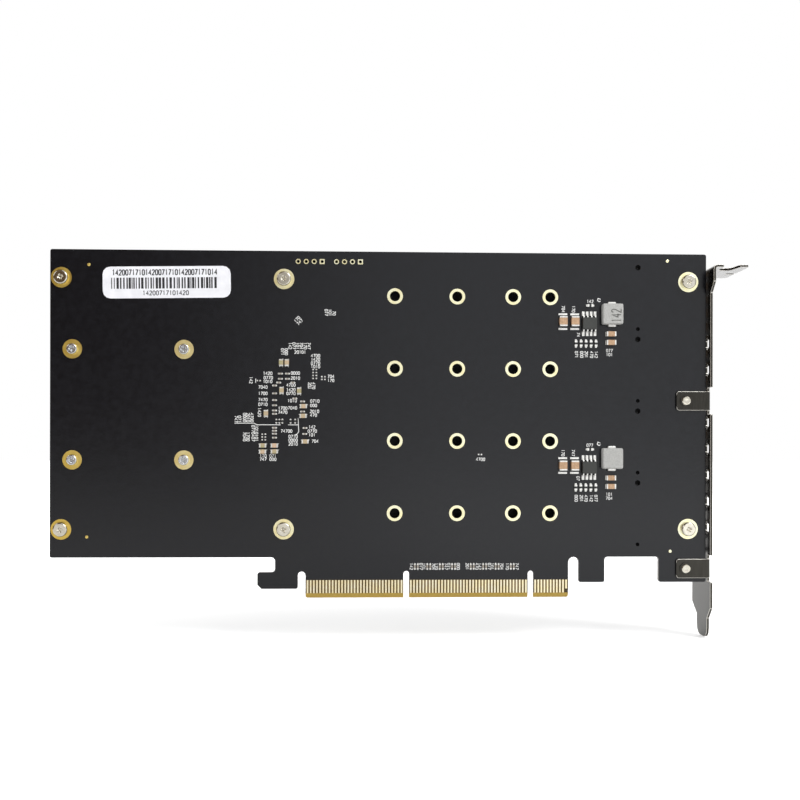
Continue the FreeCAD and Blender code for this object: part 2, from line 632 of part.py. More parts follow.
def bracket_flange():
    """Top flange: a bent strip with the screw notch and a small alignment slot."""
    near = BRACKET_FAR_Y - FLANGE_WIDTH
    out = BRACKET_IN + FLANGE_REACH
    under = FLANGE_TOP - SHEET
    fold = [(BRACKET_IN, under - BEND_R), (BRACKET_OUT, under - BEND_R),
            (BRACKET_OUT, under, BEND_R), (out, under), (out, FLANGE_TOP),
            (BRACKET_IN, FLANGE_TOP, BEND_R + SHEET)]
    strip = outline(fold, on_xz(near)).extrude(Vector(0, FLANGE_WIDTH, 0))
    inside = BRACKET_IN - CUT_OVERRUN
    plan = outline([(inside, near), (out, near, FLANGE_CORNER_R),
                    (out, BRACKET_FAR_Y, 2 * FLANGE_CORNER_R), (inside, BRACKET_FAR_Y)], on_xy(0))
    middle = BRACKET_IN + NOTCH_OFFSET
    mouth, end = near - CUT_OVERRUN, near + NOTCH_REACH
    end_r = NOTCH_R - ARC_SHY
    notch = outline([(middle - NOTCH_R, mouth), (middle + NOTCH_R + NOTCH_FLARE, mouth),
                     (middle + NOTCH_R, end - NOTCH_R), (middle + NOTCH_R, end, end_r),
                     (middle - NOTCH_R, end, end_r)], on_xy(under - CUT_OVERRUN))
    slot_y = near + ALIGN_SLOT_SETBACK
    slot_r = ALIGN_SLOT_WIDTH / 2
    slot_end, past = out - ALIGN_SLOT_LENGTH, out + CUT_OVERRUN
    slot = outline([(slot_end, slot_y - slot_r, slot_r - ARC_SHY), (past, slot_y - slot_r),
                    (past, slot_y + slot_r), (slot_end, slot_y + slot_r, slot_r - ARC_SHY)],
                   on_xy(under - CUT_OVERRUN))
    through = Vector(0, 0, SHEET + 2 * CUT_OVERRUN)
    return strip.common(plan.extrude(Vector(0, 0, FLANGE_TOP + CUT_OVERRUN))).cut(
        [notch.extrude(through), slot.extrude(through)])


def bracket_tab(z):
    """Tab folded over the solder side, with a drawn and tapped collar."""
    outer = SOLDER_FACE - SHEET
    low = z - BRACKET_TAB_HEIGHT / 2
    edge = SOLDER_FACE + BEND_R + FOLD_OVERLAP
    fold = [(BRACKET_TAB_END, SOLDER_FACE), (BRACKET_IN, SOLDER_FACE, BEND_R), (BRACKET_IN, edge),
            (BRACKET_OUT, edge), (BRACKET_OUT, outer, BEND_R + SHEET), (BRACKET_TAB_END, outer)]
    strip = outline(fold, on_xy(low)).extrude(Vector(0, 0, BRACKET_TAB_HEIGHT))
    past = BRACKET_OUT + CUT_OVERRUN
    shape = outline([(BRACKET_TAB_END, low, BRACKET_TAB_R), (past, low),
                     (past, low + BRACKET_TAB_HEIGHT),
                     (BRACKET_TAB_END, low + BRACKET_TAB_HEIGHT, BRACKET_TAB_R)],
                    on_xz(outer - CUT_OVERRUN)).extrude(Vector(0, edge - outer + 2 * CUT_OVERRUN, 0))
    rim = outer - COLLAR_HEIGHT
    collar = prism(BRACKET_SCREW_X, z, COLLAR_R, rim, outer, PAD_SIDES)
    tap = drill(BRACKET_SCREW_X, z, BRACKET_SCREW_R + THREAD_GAP, rim - CUT_OVERRUN, PART_FACE, PAD_SIDES)
    return strip.common(shape).fuse(collar).cut(tap)


def bracket():
    tabs = [bracket_tab(z) for z in BRACKET_SCREW_Z]
    return bracket_plate().multiFuse([bracket_flange()] + tabs).removeSplitter()


def bracket_fasteners():
    """Screws put in from the component side, into the tapped tabs."""
    length = BOARD_THICKNESS + SHEET + COLLAR_HEIGHT + SCREW_TIP
    return group(pan_screw(x, z, PART_FACE, -1, BRACKET_HEAD_R, BRACKET_HEAD_HEIGHT,
                           BRACKET_SCREW_R, length) for x, z in BRACKET_SCREWS)


# ---------------------------------------------------------------- parts on the solder side
def chip_pieces(x, z, size, upright):
    """Body and two end caps of one chip part on the solder side."""
    length, width, height, cap = size
    seat = SOLDER_FACE - SOLDER_FILM
    inner = length - 2 * cap
    shift = (length - cap) / 2
    if upright:
        body = block(x, z, width, inner, seat - height, seat)
        caps = [block(x, z + side * shift, width, cap, seat - height, SOLDER_FACE) for side in (-1, 1)]
    else:
        body = block(x, z, inner, width, seat - height, seat)
        caps = [block(x + side * shift, z, cap, width, seat - height, SOLDER_FACE) for side in (-1, 1)]
    return body, caps


def chip_bodies(places):
    return group(chip_pieces(*place)[0] for place in places)


def chip_caps(places):
    return group(cap for place in places for cap in chip_pieces(*place)[1])


def small_chips(places):
    """Chip parts too small for end caps of their own: one block each, on its solder film."""
    blocks = []
    for x, z, (length, width, height), upright in places:
        along, up = (width, length) if upright else (length, width)
        blocks.append(block(x, z, along, up, SOLDER_FACE - SOLDER_FILM - height, SOLDER_FACE))
    return group(blocks)


def at_regulators(offsets, size, upright):
    """The same chip parts beside each regulator."""
    return [(x + dx, z + dz, size, upright) for x, z in REGULATORS for dx, dz in offsets]


def at_switch(offsets, size, upright):
    """Chip parts behind the switch."""
    return [(SWITCH_X + dx, SWITCH_Z + dz, size, upright) for dx, dz in offsets]


def at_lanes():
    """Two coupling capacitors side by side for each lane."""
    return [(lane + side * COUPLING_SPREAD / 2, COUPLING_Z, CHIP_COUPLING, True)
            for lane in COUPLING_LANES for side in (-1, 1)]


def regulator_body(x, z):
    """Moulded body with sloping sides, widest at half its height."""
    length, height, thickness = CHIP_BODY
    seat = SOLDER_FACE - CHIP_STANDOFF
    rings = []
    for rise, inset in ((0, CHIP_TAPER), (0.5, 0), (1, CHIP_TAPER)):
        half_x, half_z = length / 2 - inset, height / 2 - inset
        corners = rectangle(x - half_x, z - half_z, x + half_x, z + half_z)
        rings.append(outline(corners, on_xz(seat - rise * thickness)).OuterWire)
    return Part.makeLoft(rings, True, True)


def regulator_leads(x, z):
    """Gull-wing leads along both long sides."""
    body_edge = CHIP_BODY[1] / 2
    tip = LEAD_SPAN / 2
    belt = SOLDER_FACE - CHIP_STANDOFF - CHIP_BODY[2] / 2
    top, under, foot = belt - LEAD_SHEET / 2, belt + LEAD_SHEET / 2, SOLDER_FACE - LEAD_SHEET
    leads = []
    for side in (-1, 1):
        bend = side * (tip - LEAD_FOOT)
        outer = bend + side * LEAD_SHEET
        section = [(top, side * body_edge), (top, outer), (foot, outer), (foot, side * tip),
                   (SOLDER_FACE, side * tip), (SOLDER_FACE, bend), (under, bend),
                   (under, side * body_edge)]
        for i in range(LEAD_COUNT):
            left = x + (i - (LEAD_COUNT - 1) / 2) * LEAD_PITCH - LEAD_WIDTH / 2
            lead = outline([(y, z + dz) for y, dz in section], on_yz(left))
            leads.append(lead.extrude(Vector(LEAD_WIDTH, 0, 0)))
    return leads


def inductor_body(x, z):
    """Pressed-powder inductor: rounded square block with bevelled top edges."""
    half = INDUCTOR_SIZE / 2
    body = outline(rectangle(x - half, z - half, x + half, z + half, INDUCTOR_R),
                   on_xz(SOLDER_FACE - INDUCTOR_HEIGHT)).extrude(Vector(0, INDUCTOR_HEIGHT, 0))
    top = [edge for edge in body.Edges
           if all(abs(v.Y - (SOLDER_FACE - INDUCTOR_HEIGHT)) < 1e-6 for v in edge.Vertexes)]
    body = body.makeChamfer(INDUCTOR_BEVEL, top)
    slots = [block(x, z + side * half, TERMINAL_WIDTH, 2 * TERMINAL_TUCK,
                   SOLDER_FACE - TERMINAL_HEIGHT, SOLDER_FACE) for side in (-1, 1)]
    return body.cut(slots)


def inductor_terminals(x, z):
    """Flat terminals folded up the two ends of an inductor."""
    half = INDUCTOR_SIZE / 2
    middle = half + (TERMINAL_REACH - TERMINAL_TUCK) / 2
    return [block(x, z + side * middle, TERMINAL_WIDTH, TERMINAL_REACH + TERMINAL_TUCK,
                  SOLDER_FACE - TERMINAL_HEIGHT, SOLDER_FACE) for side in (-1, 1)]


def label():
    """Printed sticker, set a little crooked."""
    width, height = LABEL_SIZE
    x, z = LABEL_X, BOARD_TOP - LABEL_BELOW_TOP
    sheet = outline(rectangle(x - width / 2, z - height / 2, x + width / 2, z + height / 2, LABEL_R),
                    on_xz(SOLDER_FACE - LABEL_THICKNESS)).extrude(Vector(0, LABEL_THICKNESS, 0))
    sheet.rotate(Vector(x, 0, z), Vector(0, 1, 0), LABEL_TURN)
    return sheet


# ---------------------------------------------------------------- sub-parts
def chip_sub_parts():
    """Capacitors and resistors, grouped by size."""
    feedback = [(FEEDBACK_FIRST[0] + i * FEEDBACK_PITCH, FEEDBACK_FIRST[1])
                for i in range(FEEDBACK_COUNT)]
    capped = {
        "input_capacitor": at_regulators(INPUT_CAPACITORS, CHIP_1210, True),
        "output_capacitor": at_regulators(OUTPUT_CAPACITORS, CHIP_1206, False),
        "switch_bulk_capacitor": (at_switch(BULK_UPRIGHT, CHIP_0805, True)
                                  + at_switch(BULK_LEVEL, CHIP_0805, False)),
    }
    small = {
        "feedback_resistors": (at_regulators(feedback, CHIP_0603, True)
                               + at_regulators([BOOTSTRAP_PLACE], CHIP_0603, False)),
        "decoupling_capacitors": at_switch(DECOUPLING_COLUMN + DECOUPLING_OTHER, CHIP_0402, False),
        "pull_up_resistors": at_switch(PULL_UPS, CHIP_0402, True),
        "coupling_capacitors": at_lanes(),
    }
    nodes = {name: small_chips(places) for name, places in small.items()}
    for name, places in capped.items():
        nodes[name + "_bodies"] = chip_bodies(places)
        nodes[name + "_ends"] = chip_caps(places)
    return nodes


def regulator_sub_parts():
    """Each regulator's chip, leads, inductor and terminals."""
    nodes = {}
    for name, (x, z) in zip(("lower", "upper"), REGULATORS):
        coil_x, coil_z = x + INDUCTOR_PLACE[0], z + INDUCTOR_PLACE[1]
        nodes[name + "_regulator_chip"] = regulator_body(x, z)
        nodes[name + "_regulator_leads"] = group(regulator_leads(x, z))
        nodes[name + "_inductor"] = inductor_body(coil_x, coil_z)
        nodes[name + "_inductor_terminals"] = group(inductor_terminals(coil_x, coil_z))
    return nodes


def socket_sub_parts():
    """One socket and one cooling pad for each drive."""
    nodes = {}
    for i, row_z in enumerate(DRIVE_ROWS, start=1):
        nodes[f"drive_socket_{i}"] = drive_socket(row_z)
        nodes[f"drive_thermal_pad_{i}"] = drive_pad(row_z)
    return nodes


def sub_parts():
    nodes = {
        "circuit_board": circuit_board(),
        "solder_side_contacts": edge_contacts(SOLDER_FACE - COPPER, 1),
        "component_side_contacts": edge_contacts(PART_FACE, PINS_BEFORE_KEY + PINS_AFTER_KEY - 1),
        "drive_hole_rings": pads(DRIVE_HOLES, DRIVE_PAD_R, DRIVE_HOLE_R + PAD_HOLE_GAP),
        "cover_screw_rings": pads(COVER_SCREWS, COVER_PAD_R, COVER_SCREW_R + SCREW_CLEARANCE),
        "small_screw_rings": pads(SMALL_SCREWS, SMALL_PAD_R, SMALL_SCREW_R + SCREW_CLEARANCE),
        "header_pads": header_pads(),
        "fiducial_dots": group(prism(x, z, FIDUCIAL_R, SOLDER_FACE - COPPER, SOLDER_FACE, PEG_SIDES)
                               for x, z in FIDUCIALS),
        "heatsink_cover": heatsink_cover(),
        "cover_spacers": spacers(COVER_SCREWS, SPACER_R, COVER_SCREW_R),
        "small_spacers": spacers(SMALL_SCREWS, SMALL_SPACER_R, SMALL_SCREW_R),
        "cover_screws": cover_fasteners(COVER_SCREWS, COVER_HEAD_R, COVER_HEAD_HEIGHT, COVER_SCREW_R),
        "small_screws": cover_fasteners(SMALL_SCREWS, SMALL_HEAD_R, SMALL_HEAD_HEIGHT, SMALL_SCREW_R),
        "switch_chip": switch_chip(),
        "switch_thermal_pad": switch_pad(),
        "bracket": bracket(),
        "bracket_screws": bracket_fasteners(),
        "product_label": label(),
    }
    nodes.update(socket_sub_parts())
    nodes.update(regulator_sub_parts())
    nodes.update(chip_sub_parts())
    return nodes


def main():
    os.makedirs("parts", exist_ok=True)
    for name, shape in sub_parts().items():
        shape.exportStep(f"parts/{name}.step")


main()
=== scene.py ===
import math

import bmesh
import bpy
import numpy as np
from mathutils import Matrix, Vector


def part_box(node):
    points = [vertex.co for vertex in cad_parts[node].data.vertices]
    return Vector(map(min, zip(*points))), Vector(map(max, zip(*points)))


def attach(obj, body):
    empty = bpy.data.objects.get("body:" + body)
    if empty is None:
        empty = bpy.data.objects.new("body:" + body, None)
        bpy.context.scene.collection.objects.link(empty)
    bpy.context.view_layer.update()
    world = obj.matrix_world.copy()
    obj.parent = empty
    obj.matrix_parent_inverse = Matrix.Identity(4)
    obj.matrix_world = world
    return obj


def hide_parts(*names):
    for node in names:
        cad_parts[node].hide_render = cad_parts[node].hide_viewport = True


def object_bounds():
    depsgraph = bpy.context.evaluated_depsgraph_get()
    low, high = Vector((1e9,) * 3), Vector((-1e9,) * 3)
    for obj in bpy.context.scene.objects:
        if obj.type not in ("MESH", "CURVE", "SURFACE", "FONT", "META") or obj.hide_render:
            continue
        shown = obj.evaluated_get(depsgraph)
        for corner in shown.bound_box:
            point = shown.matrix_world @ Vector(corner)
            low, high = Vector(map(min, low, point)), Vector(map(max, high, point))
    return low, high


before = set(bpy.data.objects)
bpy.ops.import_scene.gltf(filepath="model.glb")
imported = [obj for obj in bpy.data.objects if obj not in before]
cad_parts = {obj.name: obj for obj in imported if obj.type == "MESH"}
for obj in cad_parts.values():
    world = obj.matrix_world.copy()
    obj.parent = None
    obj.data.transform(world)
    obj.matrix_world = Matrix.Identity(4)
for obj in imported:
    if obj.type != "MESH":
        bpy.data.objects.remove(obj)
cad_low, cad_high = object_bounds()

# ================================================================ circuit board
# The real piece is a glass-fibre laminate, 1.57 mm thick, routed to outline and drilled, then
# coated with black solder mask. Below the mask, round the edge contacts and on the cut sides,
# the bare laminate shows as a dull yellow-brown.
MM = 0.001
SOLDER_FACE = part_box("circuit_board")[0].y / MM
PART_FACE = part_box("circuit_board")[1].y / MM
MASK_STARTS_Z = 5.75
BESIDE_STRIPS = 0.9
CUT_SIDE_SHARE = 0.985
STRAND_PITCH = 0.45
WHITE = "#FFFFFF"
# Most of a noise lies between these two, which become 0 and 1.
NOISE_LOW, NOISE_HIGH = 0.32, 0.68


def linear(hex_colour):
    """sRGB hex to linear: each channel c is ((c + 0.055) / 1.055) to the power 2.4, or c / 12.92."""
    srgb = np.array([int(hex_colour[i:i + 2], 16) for i in (1, 3, 5)]) / 255
    bright = ((srgb + 0.055) / 1.055) ** 2.4
    return (*np.where(srgb > 0.04045, bright, srgb / 12.92).tolist(), 1.0)


def add(made, kind, settings, *joins):
    """Adds one node: settings name a property or a socket; a join is (node, its output, socket)."""
    node = made.node_tree.nodes.new(kind)
    for key, value in settings.items():
        if isinstance(key, int) or key in node.inputs:
            node.inputs[key].default_value = value
        else:
            setattr(node, key, value)
    for source, output, socket in joins:
        made.node_tree.links.new(source.outputs[output], node.inputs[socket])
    return node


def mix(made, low, high, *joins, **more):
    """Adds a mix of two colours; a colour given as None comes by a join."""
    colours = {socket: linear(colour) for socket, colour in ((6, low), (7, high)) if colour}
    return add(made, "ShaderNodeMix", {"data_type": "RGBA", **more, **colours}, *joins)


def math_node(made, operation, *joins, by=None):
    """Adds one step of arithmetic, whose second number is by or comes by a join."""
    settings = {"operation": operation} if by is None else {"operation": operation, 1: by}
    return add(made, "ShaderNodeMath", settings, *joins)


def part(made, name):
    """One of a material's nodes, by the name that finish gave it."""
    return made.node_tree.nodes[name]


def recolour(made, colour):
    """Leads a colour mix into the shader in place of the plain drift."""
    made.node_tree.links.new(colour.outputs[2], part(made, "shader").inputs["Base Color"])


def finish(name, dark, light, grain, roughness, metallic=0.0, ior=1.5, relief=0.0, stretch=(1, 1, 1)):
    """Material whose colour and roughness drift between two values, over spots of the given grain.

    A noise in Object coordinates, whose spots are grain millimetres wide and drawn out by stretch,
    gives one number from 0 to 1; colour, roughness and height all follow it.
    """
    made = bpy.data.materials.new(name)
    made.use_nodes = True
    made.node_tree.nodes.clear()
    place = add(made, "ShaderNodeTexCoord", {"name": "place"})
    drawn = add(made, "ShaderNodeMapping", {"Scale": [1 / s for s in stretch]},
                (place, "Object", "Vector"))
    spots = add(made, "ShaderNodeTexNoise", {"Scale": 1 / (grain * MM), "Detail": 4.0},
                (drawn, 0, "Vector"))
    drift = add(made, "ShaderNodeMapRange", {"From Min": NOISE_LOW, "From Max": NOISE_HIGH},
                (spots, 0, "Value"))
    colour = mix(made, dark, light, (drift, 0, 0), name="colour")
    dull = add(made, "ShaderNodeMapRange", {"To Min": roughness[0], "To Max": roughness[1]},
               (drift, 0, "Value"))
    shader = add(made, "ShaderNodeBsdfPrincipled", {"name": "shader", "Metallic": metallic, "IOR": ior},
                 (colour, 2, "Base Color"), (dull, 0, "Roughness"))
    if relief:
        bump = add(made, "ShaderNodeBump", {"Strength": relief, "Distance": grain * MM / 4},
                   (drift, 0, "Height"))
        made.node_tree.links.new(bump.outputs[0], shader.inputs["Normal"])
    add(made, "ShaderNodeOutputMaterial", {}, (shader, "BSDF", "Surface"))
    return made


def dress(made, *nodes):
    """Gives CAD nodes a material and leaves their meshes alone."""
    for node in nodes:
        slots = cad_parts[node].data.materials
        slots.clear()
        slots.append(made)


# Solder mask: an epoxy ink, sprayed and cured, black with a soft gloss and a faint orange peel.
solder_mask = finish("sprayed_black_solder_mask", "#080A10", "#0D0F15", 1.6, (0.20, 0.24), ior=1.45,
                     relief=0.012)
split = add(solder_mask, "ShaderNodeSeparateXYZ", {}, (part(solder_mask, "place"), "Object", 0))
low_edge = math_node(solder_mask, "LESS_THAN", (split, "Z", 0), by=MASK_STARTS_Z * MM)
strips_low, strips_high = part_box("solder_side_contacts")
from_middle = math_node(solder_mask, "SUBTRACT", (split, "X", 0), by=(strips_low.x + strips_high.x) / 2)
from_middle = math_node(solder_mask, "ABSOLUTE", (from_middle, 0, 0))
in_strips = math_node(solder_mask, "LESS_THAN", (from_middle, 0, 0),
                      by=(strips_high.x - strips_low.x) / 2 + BESIDE_STRIPS * MM)
low_edge = math_node(solder_mask, "MULTIPLY", (low_edge, 0, 0), (in_strips, 0, 1))
depth = math_node(solder_mask, "ABSOLUTE", (split, "Y", 0))
cut_side = math_node(solder_mask, "LESS_THAN", (depth, 0, 0), by=PART_FACE * MM * CUT_SIDE_SHARE)
bare = math_node(solder_mask, "MAXIMUM", (low_edge, 0, 0), (cut_side, 0, 1))
# Laminate: woven glass in yellow epoxy; the cut strands give it a fine light fleck.
glass = add(solder_mask, "ShaderNodeTexNoise", {"Scale": 1 / (STRAND_PITCH * MM), "Detail": 1.0},
            (part(solder_mask, "place"), "Object", 0))
strands = mix(solder_mask, "#A88A3A", "#C2A24A", (glass, 0, 0))
# Between the strips the laminate is painted a dark brown as their shade; on the bevel below them it is in the
# open and keeps its own colour.
above_bevel = math_node(solder_mask, "GREATER_THAN", (split, "Z", 0), by=strips_low.z)
between = mix(solder_mask, None, "#3E2F12", (above_bevel, 0, 0), (strands, 2, 6))
recolour(solder_mask, mix(solder_mask, None, None, (bare, 0, 0), (part(solder_mask, "colour"), 2, 6),
                          (between, 2, 7)))
dress(solder_mask, "circuit_board")

# ================================================================ edge contacts
# Eighty copper strips a side at 1 mm pitch, etched with the board and plated with nickel and
# a hard gold that takes rubbing. The plating is bright, and paler where it faces the light.
hard_gold = finish("plated_hard_gold", "#FFF6C4", "#FFFFE0", 2.2, (0.30, 0.38), metallic=1.0, relief=0.02)
# Its rings and the other parts plated with it are painted a deeper, darker gold towards the card's far end
# than by the bracket: painted shade, which fades out towards the bright side of the room.
SHADED_GOLD_TINT = "#E4C878"
FULL_SHADE_AT, NO_SHADE_AT = -150.0, -60.0
along = add(hard_gold, "ShaderNodeSeparateXYZ", {}, (part(hard_gold, "place"), "Object", 0))
painted_shade_fade = add(hard_gold, "ShaderNodeMapRange", {"From Min": FULL_SHADE_AT * MM, "From Max": NO_SHADE_AT * MM},
               (along, "X", "Value"))
painted_shade_tint = mix(hard_gold, SHADED_GOLD_TINT, WHITE, (painted_shade_fade, 0, 0))
gold_with_painted_shade = add(hard_gold, "ShaderNodeMix", {"data_type": "RGBA", "blend_type": "MULTIPLY", 0: 1.0},
             (part(hard_gold, "colour"), 2, 6), (painted_shade_tint, 2, 7))
recolour(hard_gold, gold_with_painted_shade)
# Each strip is painted a darker, browner gold towards its edges: painted shade, so that it is bright only
# down its middle.
STRIP_PITCH = 1.0
STRIP_HALF = 0.35
STRIP_SHADE_RAMP = (0.16, 0.32)
strip_gold = finish("plated_edge_contact", "#FFF4C6", "#FFFCE4", 2.2, (0.32, 0.40), metallic=1.0,
                    relief=0.02)
along = add(strip_gold, "ShaderNodeSeparateXYZ", {}, (part(strip_gold, "place"), "Object", 0))
from_middle = math_node(strip_gold, "ADD", (along, "X", 0),
                        by=(0.5 * STRIP_PITCH - STRIP_HALF) * MM - strips_low.x)
from_middle = math_node(strip_gold, "DIVIDE", (from_middle, 0, 0), by=STRIP_PITCH * MM)
from_middle = math_node(strip_gold, "FRACT", (from_middle, 0, 0))
from_middle = math_node(strip_gold, "SUBTRACT", (from_middle, 0, 0), by=0.5)
from_middle = math_node(strip_gold, "ABSOLUTE", (from_middle, 0, 0))
# The brown gold towards each strip's edges is painted shade.
painted_edge_shade = add(strip_gold, "ShaderNodeMapRange", {"From Min": STRIP_SHADE_RAMP[0], "From Max": STRIP_SHADE_RAMP[1]},
             (from_middle, 0, "Value"))
recolour(strip_gold, mix(strip_gold, None, "#A5803A", (painted_edge_shade, 0, 0), (part(strip_gold, "colour"), 2, 6)))
dress(strip_gold, "solder_side_contacts", "component_side_contacts")

# ================================================================ plated rings and dots
# Every hole that takes a screw, a stand-off or a pin has a copper ring on each face, joined by
# a plated wall. Four bare dots with no hole guide the machine that places the parts.
DRIVE_HOLE_R = 1.65
DRIVE_RING_R = 2.52
COVER_RING_R = 3.25
SMALL_RING_R = 3.05
SCREW_HOLE_R = 1.3
COPPER = 0.05
PLATING = 0.02
ROUND = 64
SMOOTH_UP_TO = math.radians(35)


def skin(grid, closed=False):
    """Shell over a grid (rows, columns, 3) in millimetres, whose last column meets the first.

    A closed one's last row meets its first too; otherwise the end rows are capped by one face.
    """
    rows, columns = grid.shape[:2]
    number = np.arange(rows * columns).reshape(rows, columns)
    near = number if closed else number[:-1]
    far = np.roll(number, -1, 0) if closed else number[1:]
    quads = np.stack([near, np.roll(near, -1, 1), np.roll(far, -1, 1), far], -1).reshape(-1, 4).tolist()
    caps = [] if closed else [number[0, ::-1].tolist(), number[-1].tolist()]
    return grid.reshape(-1, 3), quads + caps


def turned(profile, sides=ROUND):
    """A profile of (radius, depth) swept about the Y axis.

    x is radius times cos t and z is radius times sin t. Where the profile is marked by a third
    number, 1, it is square: both are first divided by the larger of |cos t| and |sin t|.
    """
    profile = np.array([(*corner, 0)[:3] for corner in profile], float)
    t = (np.arange(sides) + 0.5) * 2 * np.pi / sides
    boxy = 1 / np.maximum(abs(np.cos(t)), abs(np.sin(t)))
    reach = profile[:, :1] * (1 + profile[:, 2:] * (boxy - 1))
    return np.stack([reach * np.cos(t), np.repeat(profile[:, 1:2], sides, 1), reach * np.sin(t)], -1)


def copies(shape, centres):
    """One shell repeated at each centre (x, depth, z): its corners are shifted, its faces renumbered."""
    points, faces = shape
    centres = np.array(centres, float).reshape(-1, 1, 3)
    renumbered = [[corner + i * len(points) for corner in face]
                  for i in range(len(centres)) for face in faces]
    return (centres + points).reshape(-1, 3), renumbered


def joined(shapes):
    """Several shells as one list of corners and one of faces."""
    starts = np.cumsum([0] + [len(points) for points, _ in shapes])
    faces = [[corner + start for corner in face]
             for start, (_, own) in zip(starts, shapes) for face in own]
    return np.concatenate([points for points, _ in shapes]), faces


def put(name, shape, made, slot, *replaced, smooth=False):
    """Makes the shell an object in metres, faces outward, that rides with the card.

    slot is not used, and replaced are the CAD nodes that it stands for.
    """
    points, faces = shape
    mesh = bpy.data.meshes.new(name)
    mesh.from_pydata((points * MM).tolist(), [], faces)
    shell = bmesh.new()
    shell.from_mesh(mesh)
    bmesh.ops.recalc_face_normals(shell, faces=shell.faces)
    shell.to_mesh(mesh)
    shell.free()
    mesh.materials.append(made)
    piece = bpy.data.objects.new(name, mesh)
    bpy.context.scene.collection.objects.link(piece)
    if smooth:
        mesh.shade_smooth()
        mesh.set_sharp_from_angle(angle=SMOOTH_UP_TO)
    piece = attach(piece, "root")
    if replaced:
        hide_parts(*replaced)


def solids(node):
    """Centre and size in millimetres of each separate solid in a CAD node, from left to right.

    Corners in one place share a number, and the lowest number spreads over each triangle until
    nothing changes, so that each solid ends with a number of its own.
    """
    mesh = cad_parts[node].data
    places = np.empty(len(mesh.vertices) * 3, np.float32)
    mesh.vertices.foreach_get("co", places)
    corners = np.empty(len(mesh.loops), np.int32)
    mesh.loops.foreach_get("vertex_index", corners)
    spots, same = np.unique((places.reshape(-1, 3) / MM).round(3), axis=0, return_inverse=True)
    faces = same.reshape(-1)[corners].reshape(-1, 3)
    number = np.arange(len(spots))
    while True:
        spread = number.copy()
        np.minimum.at(spread, faces.ravel(), np.repeat(number[faces].min(1), 3))
        if (spread == number).all():
            break
        number = spread
    boxes = [(spots[number == n].min(0), spots[number == n].max(0)) for n in np.unique(number)]
    return [((low + high) / 2, high - low) for low, high in boxes]


def ring_profile(outer, inner, square=0):
    """Copper on both faces of the board round a hole, joined by the plated wall."""
    front, back = SOLDER_FACE - COPPER, PART_FACE + COPPER
    wall = inner + PLATING
    return [(outer, front, square), (inner, front), (inner, back), (outer, back, square),
            (outer, PART_FACE, square), (wall, PART_FACE), (wall, SOLDER_FACE), (outer, SOLDER_FACE, square)]


def at_face(node):
    """Centres of a node's solids, moved to the middle of the board's thickness."""
    return [(centre[0], 0, centre[2]) for centre, _ in solids(node)]


def plated_rings(name, node, outer, inner):
    """Round plated rings in place of a node's plain ones."""
    ring = skin(turned(ring_profile(outer, inner)), closed=True)
    put(name, copies(ring, at_face(node)), hard_gold, "gold_plate", node, smooth=True)


plated_rings("drive_hole_rings_plated", "drive_hole_rings", DRIVE_RING_R, DRIVE_HOLE_R - PLATING / 2)
plated_rings("cover_screw_rings_plated", "cover_screw_rings", COVER_RING_R, SCREW_HOLE_R)
plated_rings("small_screw_rings_plated", "small_screw_rings", SMALL_RING_R, SCREW_HOLE_R)

# Header holes: three round pads and one square pad in each row of four.
HEADER_PAD_R = 0.8
HEADER_HOLE_R = 0.5
header_places = at_face("header_pads")
round_places = [place for i, place in enumerate(header_places) if i % 4 != 3]
header_shapes = [copies(skin(turned(ring_profile(HEADER_PAD_R, HEADER_HOLE_R, square)), closed=True), places)
                 for square, places in ((1, header_places[3::4]), (0, round_places))]
put("header_pads_plated", joined(header_shapes), hard_gold, "gold_plate", "header_pads", smooth=True)

# Guide dots: a bare gold disc whose rim is eased.
FIDUCIAL_R = 0.48
dot = turned([(0.12, -COPPER), (FIDUCIAL_R * 0.9, -COPPER), (FIDUCIAL_R, -COPPER / 2), (FIDUCIAL_R, 0)])
dot_places = [(centre[0], SOLDER_FACE, centre[2]) for centre, _ in solids("fiducial_dots")]
put("guide_dots", copies(skin(dot), dot_places), hard_gold, "gold_plate", "fiducial_dots", smooth=True)

# ================================================================ drive sockets
# Four moulded black sockets on the hidden side, each held by two pegs through the board and by
# a row of soldered tails. The pegs' round ends show from the solder side.
SOCKETS = ["drive_socket_1", "drive_socket_2", "drive_socket_3", "drive_socket_4"]
PEG_X = 34.7
PEGS = ((9.78, 0.78), (-10.07, 0.53))
PEG_HOLLOW, PEG_RIM, PEG_SINK = 0.34, 0.03, 0.02
PEG_SIDES, PEG_STEPS = 32, 8
# Glass-filled nylon, moulded: black, slightly grainy, with a dull sheen.
socket_plastic = finish("moulded_glass_filled_nylon", "#121212", "#1E1E1F", 0.5, (0.42, 0.58), relief=0.15)
dress(socket_plastic, *SOCKETS)


def socket_middle(node):
    """A socket's height along the card's Z and the X of its front and back, in millimetres."""
    low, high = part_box(node)
    return (low.z + high.z) / 2 / MM, low.x / MM, high.x / MM


# The mould leaves each peg's end as a smooth hollow, which looks darker than the mask round it. It is black
# nylon, but painted darker and given far less reflection than the same nylon on the sockets: partly its own
# colour, partly painted shade.
peg_nylon_painted_dark = finish("polished_nylon_painted_dark", "#020202", "#040404", 0.5, (0.07, 0.10), ior=1.12)
peg_shapes = []
for offset, radius in PEGS:
    profile = [(radius * share, (1 - share ** 2) * PEG_HOLLOW) for share in np.linspace(0.1, 1, PEG_STEPS)]
    profile += [(radius, PEG_HOLLOW + PEG_RIM)]
    places = [(PEG_X, SOLDER_FACE + PEG_SINK, socket_middle(node)[0] + offset) for node in SOCKETS]
    peg_shapes.append(copies(skin(turned(profile, PEG_SIDES)), places))
put("socket_peg_ends", joined(peg_shapes), peg_nylon_painted_dark, "socket_plastic", smooth=True)

